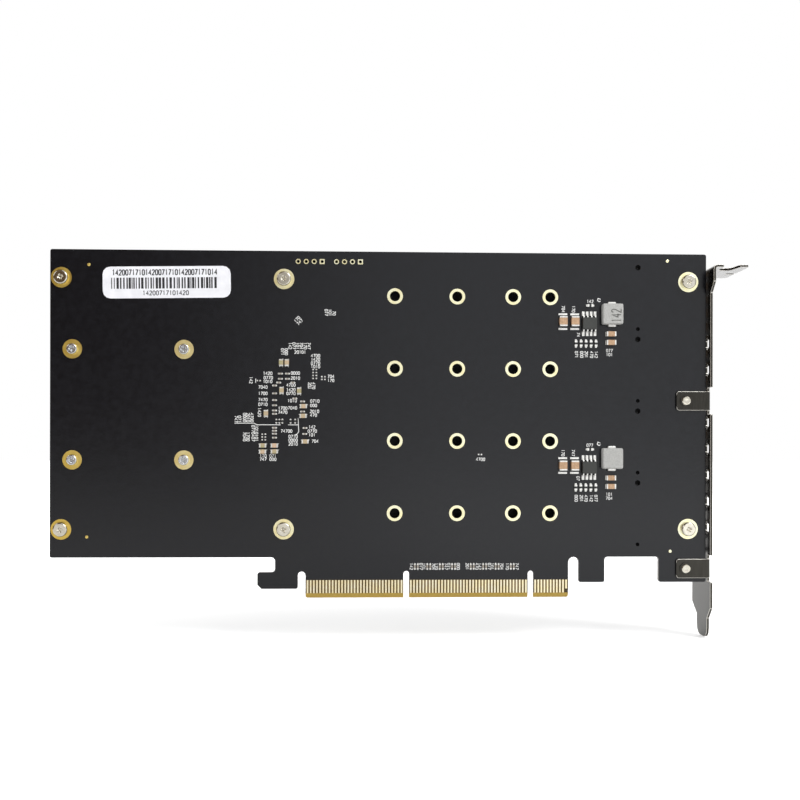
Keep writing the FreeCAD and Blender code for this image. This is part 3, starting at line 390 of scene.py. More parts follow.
# Sprung contacts: a row of bronze blades in each slot's mouth, and their tinned tails on the board.
CONTACT_PITCH = 0.5
CONTACTS_PER_SOCKET = 34
TAIL = (0.9, 0.16, 0.22)
TAIL_TUCK = 0.15
BLADE = (1.6, 0.12, 0.22)
BLADE_TUCK = 0.05
BLADE_RAISE = 1.05
rows = (np.arange(CONTACTS_PER_SOCKET) - (CONTACTS_PER_SOCKET - 1) / 2) * CONTACT_PITCH
tail_places, blade_places = [], []
for node in SOCKETS:
    middle, front, back = socket_middle(node)
    tail_places += [(back + TAIL[0] / 2 - TAIL_TUCK, PART_FACE + TAIL[1] / 2, z) for z in middle + rows]
    blade_places += [(front + BLADE[0] / 2 - BLADE_TUCK, PART_FACE + BLADE_RAISE, z) for z in middle + rows]

# ================================================================ switch and heat pads
# The switch is a moulded block under the middle of the cover. Soft silicone pads carry its heat
# and the drives' heat into the cover; they are cut from sheet and stick by themselves.
# Epoxy filled with silica moulds to a matt grey-black; filled silicone is soft, grey and dull.
chip_plastic = finish("moulded_black_epoxy", "#2C2E2C", "#3B3D3B", 0.4, (0.50, 0.62), relief=0.10)
dress(chip_plastic, "switch_chip")
silicone = finish("cut_silicone_pad", "#2B2D31", "#373A3F", 0.8, (0.70, 0.85), ior=1.41, relief=0.25)
dress(silicone, *(f"drive_thermal_pad_{i}" for i in (1, 2, 3, 4)), "switch_thermal_pad")

# ================================================================ regulators
# Two supply stages, one above each pair of drives: an eight-lead chip, moulded in grey-black
# epoxy, with bent tinned leads soldered to the board.
REGULATOR_CHIPS = ["upper_regulator_chip", "lower_regulator_chip"]
REGULATOR_LEADS = ["upper_regulator_leads", "lower_regulator_leads"]
LEAD_PITCH = 1.27
LEAD_WIDTH = 0.42
LEAD_SHEET = 0.2
LEAD_PATH = ((1.75, 0.92), (2.2, 0.92), (2.42, 0.78), (2.62, 0.24), (2.8, 0.1), (3.3, 0.1))
BEVEL_STEPS = 3
FIRST_ROW = 0.35


def rounded_block(size, radius):
    """A box with rounded edges: each corner of a shrunken box carries an eighth of a sphere.

    Row angle v runs from near one pole to near the other and column angle u goes round; a point is
    the shrunken box's corner on that side plus radius times the direction of (u, v).
    """
    size = np.array(size, float)
    radius = min(radius, size.min() / 2.01)
    quarter = np.linspace(0, np.pi / 2, BEVEL_STEPS)
    u = np.concatenate([quarter + i * np.pi / 2 for i in range(4)])
    side_x = np.repeat([1, -1, -1, 1], BEVEL_STEPS)
    side_z = np.repeat([1, 1, -1, -1], BEVEL_STEPS)
    v = np.concatenate([np.linspace(FIRST_ROW, np.pi / 2, BEVEL_STEPS),
                        np.linspace(np.pi / 2, np.pi - FIRST_ROW, BEVEL_STEPS)])
    side_y = np.repeat([1, -1], BEVEL_STEPS)
    core = size / 2 - radius
    x = core[0] * side_x + radius * np.outer(np.sin(v), np.cos(u))
    z = core[2] * side_z + radius * np.outer(np.sin(v), np.sin(u))
    y = np.repeat((core[1] * side_y + radius * np.cos(v))[:, None], len(u), 1)
    return np.stack([x, y, z], -1)


def blocks(parts, radius):
    """A rounded block for each (centre, size), as one shell."""
    return joined([copies(skin(rounded_block(size, radius)), [centre]) for centre, size in parts])


def carried(path, width, thickness):
    """A flat bar whose section, width by thickness, is carried along a path in one plane.

    At each point the section stands across the mean of the two runs that meet there, widened by
    1 / cos of half the bend, and at most doubled, so that the bar keeps its width round the corner.
    """
    path = np.array(path, float)
    runs = np.diff(path, axis=0)
    runs /= np.linalg.norm(runs, axis=1)[:, None]
    before, after = np.vstack([runs[:1], runs]), np.vstack([runs, runs[-1:]])
    mean = before + after
    mean /= np.maximum(np.linalg.norm(mean, axis=1), 0.2)[:, None]
    widen = 1 / np.maximum((mean * after).sum(1), 0.5)[:, None]
    across = np.stack([-mean[:, 1], mean[:, 0]], 1) * widen * width / 2
    left, right = path + across, path - across
    low, high = np.full((len(path), 1), -thickness / 2), np.full((len(path), 1), thickness / 2)
    corners = ((left, low), (right, low), (right, high), (left, high))
    return np.stack([np.hstack(corner) for corner in corners], 1)


CHIP_EDGE = 0.16
regulators = [solids(node)[0] for node in REGULATOR_CHIPS]
chip_shape = skin(rounded_block(regulators[0][1], CHIP_EDGE))
put("regulator_bodies", copies(chip_shape, [centre for centre, _ in regulators]), chip_plastic,
    "chip_plastic", *REGULATOR_CHIPS)

# Tin: matt-bright plating and solder, white where it faces the light.
tin = finish("bright_tin_solder", "#D9D9D6", "#F4F4F1", 0.5, (0.30, 0.48), metallic=1.0, relief=0.10)
lead = carried(LEAD_PATH, LEAD_SHEET, LEAD_WIDTH)
lead_shapes = []
for side in (1, -1):
    shape = skin(np.stack([lead[..., 2], -lead[..., 1], lead[..., 0] * side], -1))
    places = [(centre[0] + (i - 1.5) * LEAD_PITCH, SOLDER_FACE, centre[2])
              for centre, _ in regulators for i in range(4)]
    lead_shapes.append(copies(shape, places))
put("regulator_leads", joined(lead_shapes), tin, "tin_plate", *REGULATOR_LEADS)

# The drive sockets' tails are soldered in the same pass, so they share its tin.
TAIL_EDGE = 0.05
BLADE_EDGE = 0.04
put("socket_tails", copies(skin(rounded_block(TAIL, TAIL_EDGE)), tail_places), tin, "tin_plate")
put("socket_blades", copies(skin(rounded_block(BLADE, BLADE_EDGE)), blade_places), hard_gold,
    "gold_plate")

# ================================================================ inductors
# A coil pressed into a block of iron powder, painted grey, with a folded tin tab at the top and
# the bottom. The corners are rounded by the press.
INDUCTORS = ["upper_inductor", "lower_inductor"]
TERMINALS = ["upper_inductor_terminals", "lower_inductor_terminals"]
COIL_EDGE = 0.5
TERMINAL_EDGE = 0.3
# Painted iron powder: mid grey and matt, with the powder's grain.
pressed_powder = finish("pressed_iron_powder", "#A9A9A6", "#BDBDBA", 0.35, (0.50, 0.66), relief=0.22)
coils = [solids(node)[0] for node in INDUCTORS]
coil_shape = skin(rounded_block(coils[0][1], COIL_EDGE))
put("inductor_bodies", copies(coil_shape, [centre for centre, _ in coils]), pressed_powder,
    "pressed_ferrite", *INDUCTORS)
tabs = [tab for node in TERMINALS for tab in solids(node)]
put("inductor_tabs", blocks(tabs, TERMINAL_EDGE), tin, "tin_plate", *TERMINALS)

# ================================================================ capacitors and resistors
# Layered ceramic capacitors, fired tan, and small resistors, each with a tinned cap at both
# ends. A machine sets them down in solder paste, which melts into a fillet round each cap.
# Fired ceramic, sawn and tumbled: tan and matt. The large ones by the switch run from olive to
# pink tan. The resistors' glass glaze is black and glossy.
tan_ceramic = finish("fired_tan_ceramic", "#B08C6C", "#CDAA88", 0.5, (0.45, 0.60), relief=0.05)
olive_ceramic = finish("fired_olive_ceramic", "#A8A078", "#D9B99F", 3.5, (0.45, 0.60), relief=0.05)
glaze = finish("glazed_resistor_film", "#191919", "#2A2A2A", 0.3, (0.25, 0.35))
# The smallest capacitors are fired to a pale grey, close to their tinned ends.
taupe_ceramic = finish("fired_taupe_ceramic", "#8F887E", "#A9A197", 0.3, (0.45, 0.60), relief=0.05)
CAP_SHARE = {"decoupling_capacitors": 0.24, "coupling_capacitors": 0.24, "feedback_resistors": 0.34,
             "pull_up_resistors": 0.24}
CAP_OVERLAP = 0.9
BODY_INSET = 0.04
CHIP_ROUNDING = 0.08
END_ROUNDING = 0.12
SUPPLY_BODIES = ("input_capacitor_bodies", "output_capacitor_bodies")
END_NODES = ("input_capacitor_ends", "output_capacitor_ends", "switch_bulk_capacitor_ends")
SMALL_CAPACITORS = ("decoupling_capacitors", "coupling_capacitors")
RESISTORS = ("feedback_resistors", "pull_up_resistors")


def long_way(size):
    """0 for a part that lies along X, 2 for one that stands along Z."""
    return 0 if size[0] > size[2] else 2


def chip_parts(nodes):
    """Bodies and end caps, each as (centre, size), of nodes whose parts have both in one block."""
    bodies, ends = [], []
    for node in nodes:
        for centre, size in solids(node):
            way, share = long_way(size), CAP_SHARE[node]
            body, cap = size.copy(), size.copy()
            body[way] *= 1 - 2 * share * CAP_OVERLAP
            bodies.append((centre, body - BODY_INSET))
            cap[way] *= share
            for side in (-1, 1):
                place = centre.copy()
                place[way] += side * (size[way] - cap[way]) / 2
                ends.append((place, cap))
    return bodies, ends


large_bodies = [own for node in SUPPLY_BODIES for own in solids(node)]
put("supply_capacitor_bodies", blocks(large_bodies, CHIP_ROUNDING), tan_ceramic,
    "capacitor_ceramic", *SUPPLY_BODIES)

bulk = solids("switch_bulk_capacitor_bodies")
put("bulk_capacitor_bodies", blocks(bulk, CHIP_ROUNDING), olive_ceramic,
    "capacitor_ceramic", "switch_bulk_capacitor_bodies")

large_ends = [own for node in END_NODES for own in solids(node)]
put("capacitor_end_caps", blocks(large_ends, END_ROUNDING), tin, "tin_plate", *END_NODES)

small_bodies, small_ends = chip_parts(SMALL_CAPACITORS)
put("small_capacitor_bodies", blocks(small_bodies, CHIP_ROUNDING), taupe_ceramic,
    "capacitor_ceramic", *SMALL_CAPACITORS)

resistor_bodies, resistor_ends = chip_parts(RESISTORS)
put("resistor_bodies", blocks(resistor_bodies, CHIP_ROUNDING), glaze, "resistor_glaze", *RESISTORS)
put("small_part_end_caps", blocks(small_ends + resistor_ends, CHIP_ROUNDING), tin, "tin_plate")

# ================================================================ solder and bare pads
# Solder stands in a low fillet round every end cap, and a few places for parts that are not
# fitted show as bare tinned pads.
FILLET_HEIGHT = 0.3
FILLET_TUCK = 0.3
FILLET_SINK = 0.05
FILLET_ROUNDING = 0.12
BAR_PAD = (2.85, 0.12, 0.62)
BAR_PAD_AWAY = 2.36
LEAD_PAD = (0.86, 0.16, 1.5)
LEAD_PAD_AWAY = 3.2
LEAD_PAD_ROUNDING = 0.07
DOT_PAD = (0.5, 0.1, 0.45)
CORNER_PAD = (0.24, 0.1, 0.24)
# From the middle of a large capacitor, along the board and up, for one that stands.
CORNER_PAD_PLACES = ((0.5, 1.2), (-0.5, -1.2), (0.45, -1.25))
PAD_ROUNDING = 0.05


def fillets(centre, size, way, cap, narrower, beyond):
    """A pillow of solder under each end of a part that lies along X (way 0) or Z (way 2).

    cap is the length of its separate end caps, narrower how much less wide the pillow is than the
    part, and beyond how far it reaches past the end.
    """
    pillow = size - narrower
    pillow[way] = FILLET_TUCK + beyond
    pillow[1] = FILLET_HEIGHT
    reach = size[way] / 2 + cap + beyond - pillow[way] / 2
    places = []
    for side in (-1, 1):
        place = np.array([centre[0], SOLDER_FACE - FILLET_HEIGHT / 2 + FILLET_SINK, centre[2]])
        place[way] += side * reach
        places.append(place)
    return copies(skin(rounded_block(pillow, FILLET_ROUNDING)), places)


def pads(size, rounding, places):
    """One bare pad, half sunk in the board's face, at each (x, z)."""
    return copies(skin(rounded_block(size, rounding)), [(x, SOLDER_FACE, z) for x, z in places])


# Each node's fillets: how much narrower than the part, and how far past its end.
CHIP_FILLETS = (("decoupling_capacitors", 0.2, 0.16), ("coupling_capacitors", 0.2, 0.16),
                ("pull_up_resistors", 0.2, 0.16), ("feedback_resistors", 0.22, 0.4))
solder_shapes = [fillets(centre, size, long_way(size), 0.0, narrower, beyond)
                 for node, narrower, beyond in CHIP_FILLETS for centre, size in solids(node)]
BULK_CAP, BULK_NARROWER, BULK_BEYOND = 0.45, 0.3, 0.05
OUTPUT_CAP, OUTPUT_NARROWER, OUTPUT_BEYOND = 0.5, 0.1, 0.2
# A large body without its caps is shorter than it is wide, so its long way is its shorter side.
bulk_ways = [0 if size[0] < size[2] else 2 for _, size in bulk]
solder_shapes += [fillets(centre, size, way, BULK_CAP, BULK_NARROWER, BULK_BEYOND)
                  for (centre, size), way in zip(bulk, bulk_ways)]
solder_shapes += [fillets(centre, size, 0, OUTPUT_CAP, OUTPUT_NARROWER, OUTPUT_BEYOND)
                  for centre, size in solids("output_capacitor_bodies")]
corner_places = [(centre[0] + (a if way == 2 else b), centre[2] + (b if way == 2 else a))
                 for (centre, _), way in zip(bulk, bulk_ways) for a, b in CORNER_PAD_PLACES]
solder_shapes.append(pads(CORNER_PAD, PAD_ROUNDING, corner_places))
bar_places = [(centre[0], centre[2] + side * BAR_PAD_AWAY)
              for centre, _ in solids("input_capacitor_bodies") for side in (-1, 1)]
solder_shapes.append(pads(BAR_PAD, PAD_ROUNDING, bar_places))
lead_places = [(centre[0] + (i - 1.5) * LEAD_PITCH, centre[2] + side * LEAD_PAD_AWAY)
               for centre, _ in regulators for i in range(4) for side in (-1, 1)]
solder_shapes.append(pads(LEAD_PAD, LEAD_PAD_ROUNDING, lead_places))
# Bare pads in pairs of columns, then single ones: (along the card, up).
dots = [(-69.35 + 0.52 * i, 71.45 + 0.47 * j) for i in (-1, 1) for j in (-3, -1, 1, 3)]
dots += [(-66.6 + 0.49 * i, 70.16 + 0.44 * j) for i in (-1, 1) for j in (-1, 1)]
dots += [(-87.6, 69.26), (-86.7, 69.26), (-16.8, 45.84), (-15.9, 45.84)]
dots += [(-85.5 + 0.5 * i, 51.3 + 0.9 * j) for i in (-1, 1) for j in (-1, 0, 1)]
solder_shapes.append(pads(DOT_PAD, PAD_ROUNDING, dots))
put("solder_and_bare_pads", joined(solder_shapes), tin, "tin_plate")

# ================================================================ printed marks
# White ink, screened on the mask before the parts go on: a plain number beside each part and a
# thin frame round some groups. It stands proud by half of INK; the other half is in the mask.
INK = 0.04
FIGURE_PITCH = 0.75
FIGURE_HEIGHT = 0.9
FIGURE_STROKE = 0.17
FIGURE_SHARE, FIGURE_INDENT = 0.66, 0.17
# Figures with open strokes print best at this size, so the numbers use these.
OPEN_FIGURES = (0, 1, 7, 0, 4, 1, 7, 2, 0, 1)
# Strokes of the ten figures, as pairs of across and up on a grid four wide and six high.
STROKES = ("010516364541301001", "152620", "05163645440040", "0516364544334241301001", "30360242",
           "4606033342413000", "36150301103041423303", "064610",
           "13040516364544331302011030414233", "10314345361605041343")


def figure(number):
    """The stroke of one figure as points between 0 and 1, first across and then up."""
    return np.array(list(STROKES[number]), float).reshape(-1, 2) / (4, 6)


def figures(rows, pitch=FIGURE_PITCH, height=FIGURE_HEIGHT, stroke=FIGURE_STROKE):
    """Bars for rows of figures; a row is (x, z of its middle, how many, quarter turns).

    Each figure's stroke is scaled to a share of the pitch by the height, set along the row, and the
    row is turned about its middle; the numbers run on from one row to the next.
    """
    shapes = []
    for row, (x, z, count, turns) in enumerate(rows):
        angle = turns * math.pi / 2
        for i in range(count):
            path = figure(OPEN_FIGURES[(row * 7 + i * 3 + row * i + 1) % 10]) * (FIGURE_SHARE * pitch, height)
            path += ((i - count / 2 + FIGURE_INDENT) * pitch, -height / 2)
            across = path[:, 0] * math.cos(angle) - path[:, 1] * math.sin(angle)
            up = path[:, 0] * math.sin(angle) + path[:, 1] * math.cos(angle)
            shapes.append(skin(carried(np.stack([x + across, z + up], 1), stroke, INK)))
    return shapes


def laid(shapes, depth):
    """Flat bars, joined and stood up against a face at this depth."""
    points, faces = joined(shapes)
    return points[:, [0, 2, 1]] + (0, depth, 0), faces


# Beside the switch's parts: (along the card, up, how many figures, quarter turns).
SWITCH_ROWS = ((-84.3, 71.6, 4, 0), (-84.1, 70.2, 4, 0), (-84.3, 69.0, 4, 0), (-85.8, 67.2, 4, 0),
               (-85.8, 65.2, 4, 0), (-85.8, 63.2, 4, 0), (-85.8, 61.7, 4, 0), (-75.5, 71.7, 4, 0),
               (-75.5, 70.1, 4, 0), (-76.9, 67.9, 4, 0), (-76.9, 66.4, 4, 0), (-76.9, 65.2, 4, 0),
               (-76.5, 62.9, 4, 0), (-76.4, 60.6, 4, 0), (-79.5, 60.5, 4, 0), (-79.5, 59.2, 4, 0),
               (-69.3, 62.8, 4, 0), (-69.7, 61.4, 3, 0), (-69.4, 59.5, 4, 0), (-69.7, 58.3, 3, 0),
               (-70.2, 54.5, 3, 0), (-70.1, 53.2, 4, 0), (-70.2, 52.0, 3, 0), (-69.2, 50.0, 3, 0),
               (-85.7, 45.3, 3, 0), (-85.7, 44.2, 3, 0), (-82.6, 45.3, 3, 0), (-82.6, 44.2, 3, 0),
               (-74.0, 78.4, 5, 0), (-69.1, 77.3, 4, 0), (-69.1, 76.1, 4, 0), (-69.1, 74.9, 4, 0),
               (-69.1, 73.8, 4, 0), (-64.2, 70.7, 3, 0), (-64.2, 69.4, 3, 0),
               (-78.3, 53.2, 5, 0), (-76.2, 51.5, 4, 0), (-76.2, 50.3, 4, 0), (-76.2, 49.1, 4, 0),
               (-16.2, 44.3, 4, 0))
SWITCH_COLUMNS = ((-77.2, 80.4, 3, 3), (-76.0, 80.4, 3, 3), (-74.8, 80.4, 3, 3), (-73.6, 80.4, 3, 3),
                  (-72.4, 80.4, 3, 3), (-71.2, 80.4, 3, 3), (-79.6, 78.5, 3, 3), (-78.4, 78.5, 3, 3),
                  (-70.9, 67.7, 3, 3), (-69.7, 67.7, 3, 3), (-89.6, 69.4, 3, 3), (-88.9, 52.5, 7, 3),
                  (-87.8, 52.5, 7, 3), (-91.6, 51.4, 4, 3), (-90.5, 51.4, 4, 3), (-94.3, 57.0, 3, 3),
                  (-93.2, 57.0, 3, 3), (-91.6, 57.5, 4, 3), (-90.5, 57.5, 4, 3), (-89.3, 57.5, 4, 3),
                  (-86.9, 59.2, 4, 3), (-65.7, 91.1, 3, 3), (-64.5, 91.1, 3, 3),
                  (-63.2, 90.9, 2, 3), (-75.0, 88.9, 3, 0.5), (-74.1, 88.0, 3, 0.5))
# Beside each regulator's parts, from the middle of its chip.
REGULATOR_ROWS = ((0.3, 7.2, 3, 0), (6.6, -8.6, 3, 0), (6.6, -9.9, 3, 0), (-8.4, 4.7, 3, 3),
                  (-5.1, 4.7, 3, 3), (-3.5, -3.5, 2, 3), (-4.1, -9.9, 3, 3), (-2.4, -9.9, 3, 3),
                  (-0.9, -9.9, 3, 3), (0.8, -9.9, 3, 3), (2.3, -9.9, 3, 3))
ANGLE_MARK = ((3.7, 7.9), (2.9, 8.2), (2.7, 7.5), (3.3, 7.1), (3.7, 7.4))
FRAME_STROKE, ANGLE_STROKE = 0.2, 0.25
COUPLING_TEXT_AWAY = 1.55
print_shapes = figures(SWITCH_ROWS + SWITCH_COLUMNS)
print_shapes += figures([(centre[0] + x, centre[2] + z, count, turns) for centre, _ in regulators
                         for x, z, count, turns in REGULATOR_ROWS])
coupling = sorted(centre[0] for centre, _ in solids("coupling_capacitors"))
lanes = [(left + right) / 2 for left, right in zip(coupling[::2], coupling[1::2])]
coupling_z = solids("coupling_capacitors")[0][0][2]
print_shapes += figures([(lane + side * COUPLING_TEXT_AWAY, coupling_z, 3, 3)
                         for lane in lanes for side in (-1, 1)])
FRAME_LINES = (((-94.8, 55.7), (-88.7, 55.7), (-87.7, 55.2), (-80.2, 55.2)), ((-77.8, 55.2), (-74.6, 55.2)),
               ((-74.6, 57.3), (-74.4, 53.0), (-75.0, 52.2), (-75.7, 51.9)), ((-71.4, 68.4), (-71.4, 66.8)),
               ((-88.1, 69.9), (-88.1, 68.6)))
print_shapes += [skin(carried(line, FRAME_STROKE, INK)) for line in FRAME_LINES]
# A small angle mark beside each inductor's upper corner.
print_shapes += [skin(carried([(centre[0] + x, centre[2] + z) for x, z in ANGLE_MARK], ANGLE_STROKE, INK))
                 for centre, _ in regulators]
# Epoxy ink, screened and baked: white and matt.
white_ink = finish("screened_white_ink", "#F0F0EE", "#FCFCFA", 0.6, (0.55, 0.70))
put("printed_marks", laid(print_shapes, SOLDER_FACE), white_ink, "solder_mask")

# The upper inductor has a plain number, stamped sideways in a dull dark grey ink.
MARK_PLACE = (0.95, -0.6)
MARK_PITCH, MARK_HEIGHT, MARK_STROKE = 1.5, 3.0, 0.3
coil_middle, coil_size = coils[0]
mark = [(coil_middle[0] + MARK_PLACE[0], coil_middle[2] + MARK_PLACE[1], 3, 1)]
dark_ink = finish("stamped_dark_ink", "#5A5A57", "#6E6E6A", 0.4, (0.50, 0.60))
mark_shapes = figures(mark, MARK_PITCH, MARK_HEIGHT, MARK_STROKE)
put("inductor_number", laid(mark_shapes, coil_middle[1] - coil_size[1] / 2), dark_ink, "pressed_ferrite")

# ================================================================ cover screws and small screws
# Pan-head machine screws with a cross recess, cold-headed steel with a nickel finish. Their
# round shanks pass through the board into the cover's spacers.
HEAD_ROUND = 0.45
CROWN_FLAT = 0.82
RECESS_TURN = math.radians(20)
ARM_EASE, REACH_EASE = 0.08, 0.2
SHANK_R = 1.24
SHANK_SIDES = 24
COVER_HEAD_R = 2.3
SMALL_HEAD_R = 1.7
# A recess is given by the half width and the reach of its arms, as shares of the head's radius,
# and by its depth as a share of the head's height.
FINE_RECESS = (0.1, 0.28, 0.3)
WIDE_RECESS = (0.14, 0.46, 0.55)
# Nickel over steel: a warm silver that mirrors softly.
nickel = finish("nickel_plated_screw", "#C8C3B4", "#DAD6CA", 0.9, (0.13, 0.18), metallic=1.0, relief=0.01)


def cross_head(radius, height, recess, sides=ROUND):
    """Pan head with a cross recess, its seat at depth 0 and its crown at minus height.

    The crown is flat to CROWN_FLAT of the radius and then falls along a quarter ellipse to the rim.
    In axes turned by RECESS_TURN, the recess is sunk where |x| or |z| is under the arm's half width
    and the other is under its reach, eased at the edges.
    """
    share = np.concatenate([np.linspace(0.03, CROWN_FLAT, 18),
                            CROWN_FLAT + (1 - CROWN_FLAT) * np.sin(np.linspace(0.15, np.pi / 2, 8))])
    r = radius * share
    past = np.clip((share - CROWN_FLAT) / (1 - CROWN_FLAT), 0, 1)
    crown = -height * (1 - HEAD_ROUND) - height * HEAD_ROUND * np.sqrt(1 - past ** 2)
    t = (np.arange(sides) + 0.5) * 2 * np.pi / sides
    x, z = np.outer(r, np.cos(t)), np.outer(r, np.sin(t))
    a = abs(x * math.cos(RECESS_TURN) + z * math.sin(RECESS_TURN))
    b = abs(z * math.cos(RECESS_TURN) - x * math.sin(RECESS_TURN))

    def inside(value, limit, ease):
        return np.clip((limit + ease - value) / (2 * ease), 0, 1)

    arm, reach = recess[0] * radius, recess[1] * radius
    sunk = np.maximum(inside(a, arm, ARM_EASE) * inside(b, reach, REACH_EASE),
                      inside(b, arm, ARM_EASE) * inside(a, reach, REACH_EASE))
    top = np.stack([x, crown[:, None] + recess[2] * height * sunk, z], -1)
    rim = turned([(radius, -height * 0.1), (radius * 0.98, 0.0)], sides)
    return np.concatenate([top, rim])


def screws(name, node, radius, recess, made):
    """Cross heads and shanks in place of a node's screws; the shank runs to the CAD screw's end."""
    low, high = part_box(node)
    seat, end = SOLDER_FACE - COPPER, high.y / MM
    head = skin(cross_head(radius, seat - low.y / MM, recess))
    shank = skin(turned([(1.0, seat), (SHANK_R, SOLDER_FACE), (SHANK_R, end - 0.3), (0.95, end)],
                        SHANK_SIDES))
    heads = copies(head, [(centre[0], seat, centre[2]) for centre, _ in solids(node)])
    put(name, joined([heads, copies(shank, at_face(node))]), made, "nickel_screw", node, smooth=True)


screws("cover_screws_turned", "cover_screws", COVER_HEAD_R, FINE_RECESS, nickel)
# The smaller ones are zinc plated, which gives a cooler and softer shine than nickel.
zinc = finish("zinc_plated_screw", "#D2D4D6", "#E4E6E8", 0.9, (0.18, 0.24), metallic=1.0, relief=0.01)
screws("small_screws_turned", "small_screws", SMALL_HEAD_R, WIDE_RECESS, zinc)

# ================================================================ heatsink cover and spacers
# A finned aluminium plate, machined, bead blasted and dyed black, stands over the drives on
# ten turned aluminium spacers. Blasting leaves the one even and dull; turning leaves fine rings
# and a soft silver shine on the others.
black_anodised = finish("blasted_black_anodised_aluminium", "#17171A", "#242428", 0.6, (0.42, 0.56),
                        metallic=0.35, relief=0.12)
dress(black_anodised, "heatsink_cover")
turned_aluminium = finish("turned_plain_aluminium", "#B9BABC", "#D3D4D5", 0.5, (0.28, 0.42), metallic=1.0,
                          relief=0.06, stretch=(1, 0.15, 1))
dress(turned_aluminium, "cover_spacers", "small_spacers")

# ================================================================ product label
# A white polyester sticker with rounded corners, printed by heat in black. It carries plain
# bars, whose widths are drawn by lot, and plain figures. Its coating has a soft sheen.
label_paper = finish("white_polyester_sticker", "#EDEDF2", "#F8F8FC", 3.0, (0.42, 0.52), relief=0.02)
dress(label_paper, "product_label")
LABEL_TURN = math.radians(0.85)
BAR_HEIGHT = 3.5
BARS_WIDTH = 33.8
BARS_LEFT, BARS_DOWN = 0.6, 0.25
BAR_PAIRS = 37
# Its two lines of figures: (along, up, how many, quarter turns), then pitch, height and stroke.
UPPER_LINE = ([(-0.6, 3.15, 32, 0)], 1.04, 1.6, 0.32)
LOWER_LINE = ([(-0.4, -3.4, 14, 0)], 1.05, 1.3, 0.24)
label_ink = finish("black_thermal_print", "#18181C", "#26262C", 0.4, (0.40, 0.55))
label_low, label_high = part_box("product_label")
label_middle = np.array((label_low + label_high) / 2) / MM
label_face = label_low.y / MM
drawn = np.random.default_rng(11)
widths = np.stack([drawn.choice([0.3, 0.5, 0.8], BAR_PAIRS),
                   drawn.choice([0.25, 0.4, 0.6], BAR_PAIRS)], 1).ravel()
edges = np.concatenate([[0], np.cumsum(widths)]) * BARS_WIDTH / widths.sum() - BARS_WIDTH / 2
bar_shapes = [skin(carried([(x, -BAR_HEIGHT / 2 - BARS_DOWN), (x, BAR_HEIGHT / 2 - BARS_DOWN)], wide, INK))
              for x, wide in zip((edges[:-1:2] + edges[1::2]) / 2 - BARS_LEFT, np.diff(edges)[::2])]
points, faces = joined(bar_shapes + figures(*UPPER_LINE) + figures(*LOWER_LINE))
along, up = points[:, 0], points[:, 1]
print_points = np.stack([label_middle[0] + along * math.cos(LABEL_TURN) - up * math.sin(LABEL_TURN),
                         label_face + points[:, 2],
                         label_middle[2] + along * math.sin(LABEL_TURN) + up * math.cos(LABEL_TURN)], 1)
put("label_print", (print_points, faces), label_ink, "label_paper")

# ================================================================ bracket
# One piece of 0.86 mm steel sheet, pierced with vents, folded at the top and at two tabs, and
# plated bright. Its faces are painted as a near-black mirror: painted shade, a painted reflection
# of the dark studio in front of it. The press leaves the sheet's edges slightly rounded, and these
# keep the plain bright metal, so they show as light lines along the painted dark faces.
SHEET_ROUNDING = 0.16
COLLAR_REACH = 3.2
# Faces whose directions differ by less than this share a normal where they meet.
SAME_WAY = math.cos(math.radians(50))
FLAT_UP_TO = math.radians(1)
SHARP_FROM = math.radians(40)
WELD = 0.002
# The near-black faces are painted shade; the rounded edges keep the plain bright metal.
sheet_painted_dark = finish("plated_steel_painted_dark", "#383733", "#42403C", 0.3, (0.15, 0.20), metallic=1.0,
                     stretch=(1, 1, 12))
plain_bright_edge = finish("edge_of_plated_sheet", "#B4B1AA", "#D0CDC6", 0.3, (0.30, 0.40), metallic=1.0)


def softened(name, node, rounding, made, edge_made, spared):
    """A copy of a CAD node, merged and with its sharp edges turned into narrow rounded ones.

    The edges within COLLAR_REACH of each spared place, seen along Y, stay as they are. The normal at
    a face's corner is the sum, by area, of those of the faces that meet there and turn the same way.
    """

    def clear(edge):
        middle = (edge.verts[0].co + edge.verts[1].co) / 2 / MM
        return all(math.hypot(middle.x - x, middle.z - z) > COLLAR_REACH for x, _, z in spared)

    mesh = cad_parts[node].data.copy()
    mesh.name = name
    shell = bmesh.new()
    shell.from_mesh(mesh)
    bmesh.ops.remove_doubles(shell, verts=shell.verts, dist=WELD * MM)
    bmesh.ops.dissolve_limit(shell, angle_limit=FLAT_UP_TO, verts=shell.verts, edges=shell.edges)
    sharp = [edge for edge in shell.edges
             if edge.is_manifold and edge.calc_face_angle() > SHARP_FROM and clear(edge)]
    bmesh.ops.bevel(shell, geom=sharp, offset=rounding * MM, segments=2, profile=0.5, affect="EDGES",
                    clamp_overlap=False, material=1)
    bmesh.ops.recalc_face_normals(shell, faces=shell.faces)
    mesh.materials.clear()
    mesh.materials.append(made)
    mesh.materials.append(edge_made)
    shell.to_mesh(mesh)
    shell.free()
    piece = bpy.data.objects.new(name, mesh)
    bpy.context.scene.collection.objects.link(piece)
    mesh.shade_smooth()
    meeting = [[] for _ in mesh.vertices]
    for face in mesh.polygons:
        for corner in face.vertices:
            meeting[corner].append(face)
    normals = [sum((near.normal * near.area for near in meeting[corner]
                    if near.normal.dot(face.normal) > SAME_WAY), Vector()).normalized()
               for face in mesh.polygons for corner in face.vertices]
    mesh.normals_split_custom_set(normals)
    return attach(piece, "root")


screw_places = at_face("bracket_screws")
bracket = softened("folded_bracket", "bracket", SHEET_ROUNDING, sheet_painted_dark, plain_bright_edge, screw_places)
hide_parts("bracket")

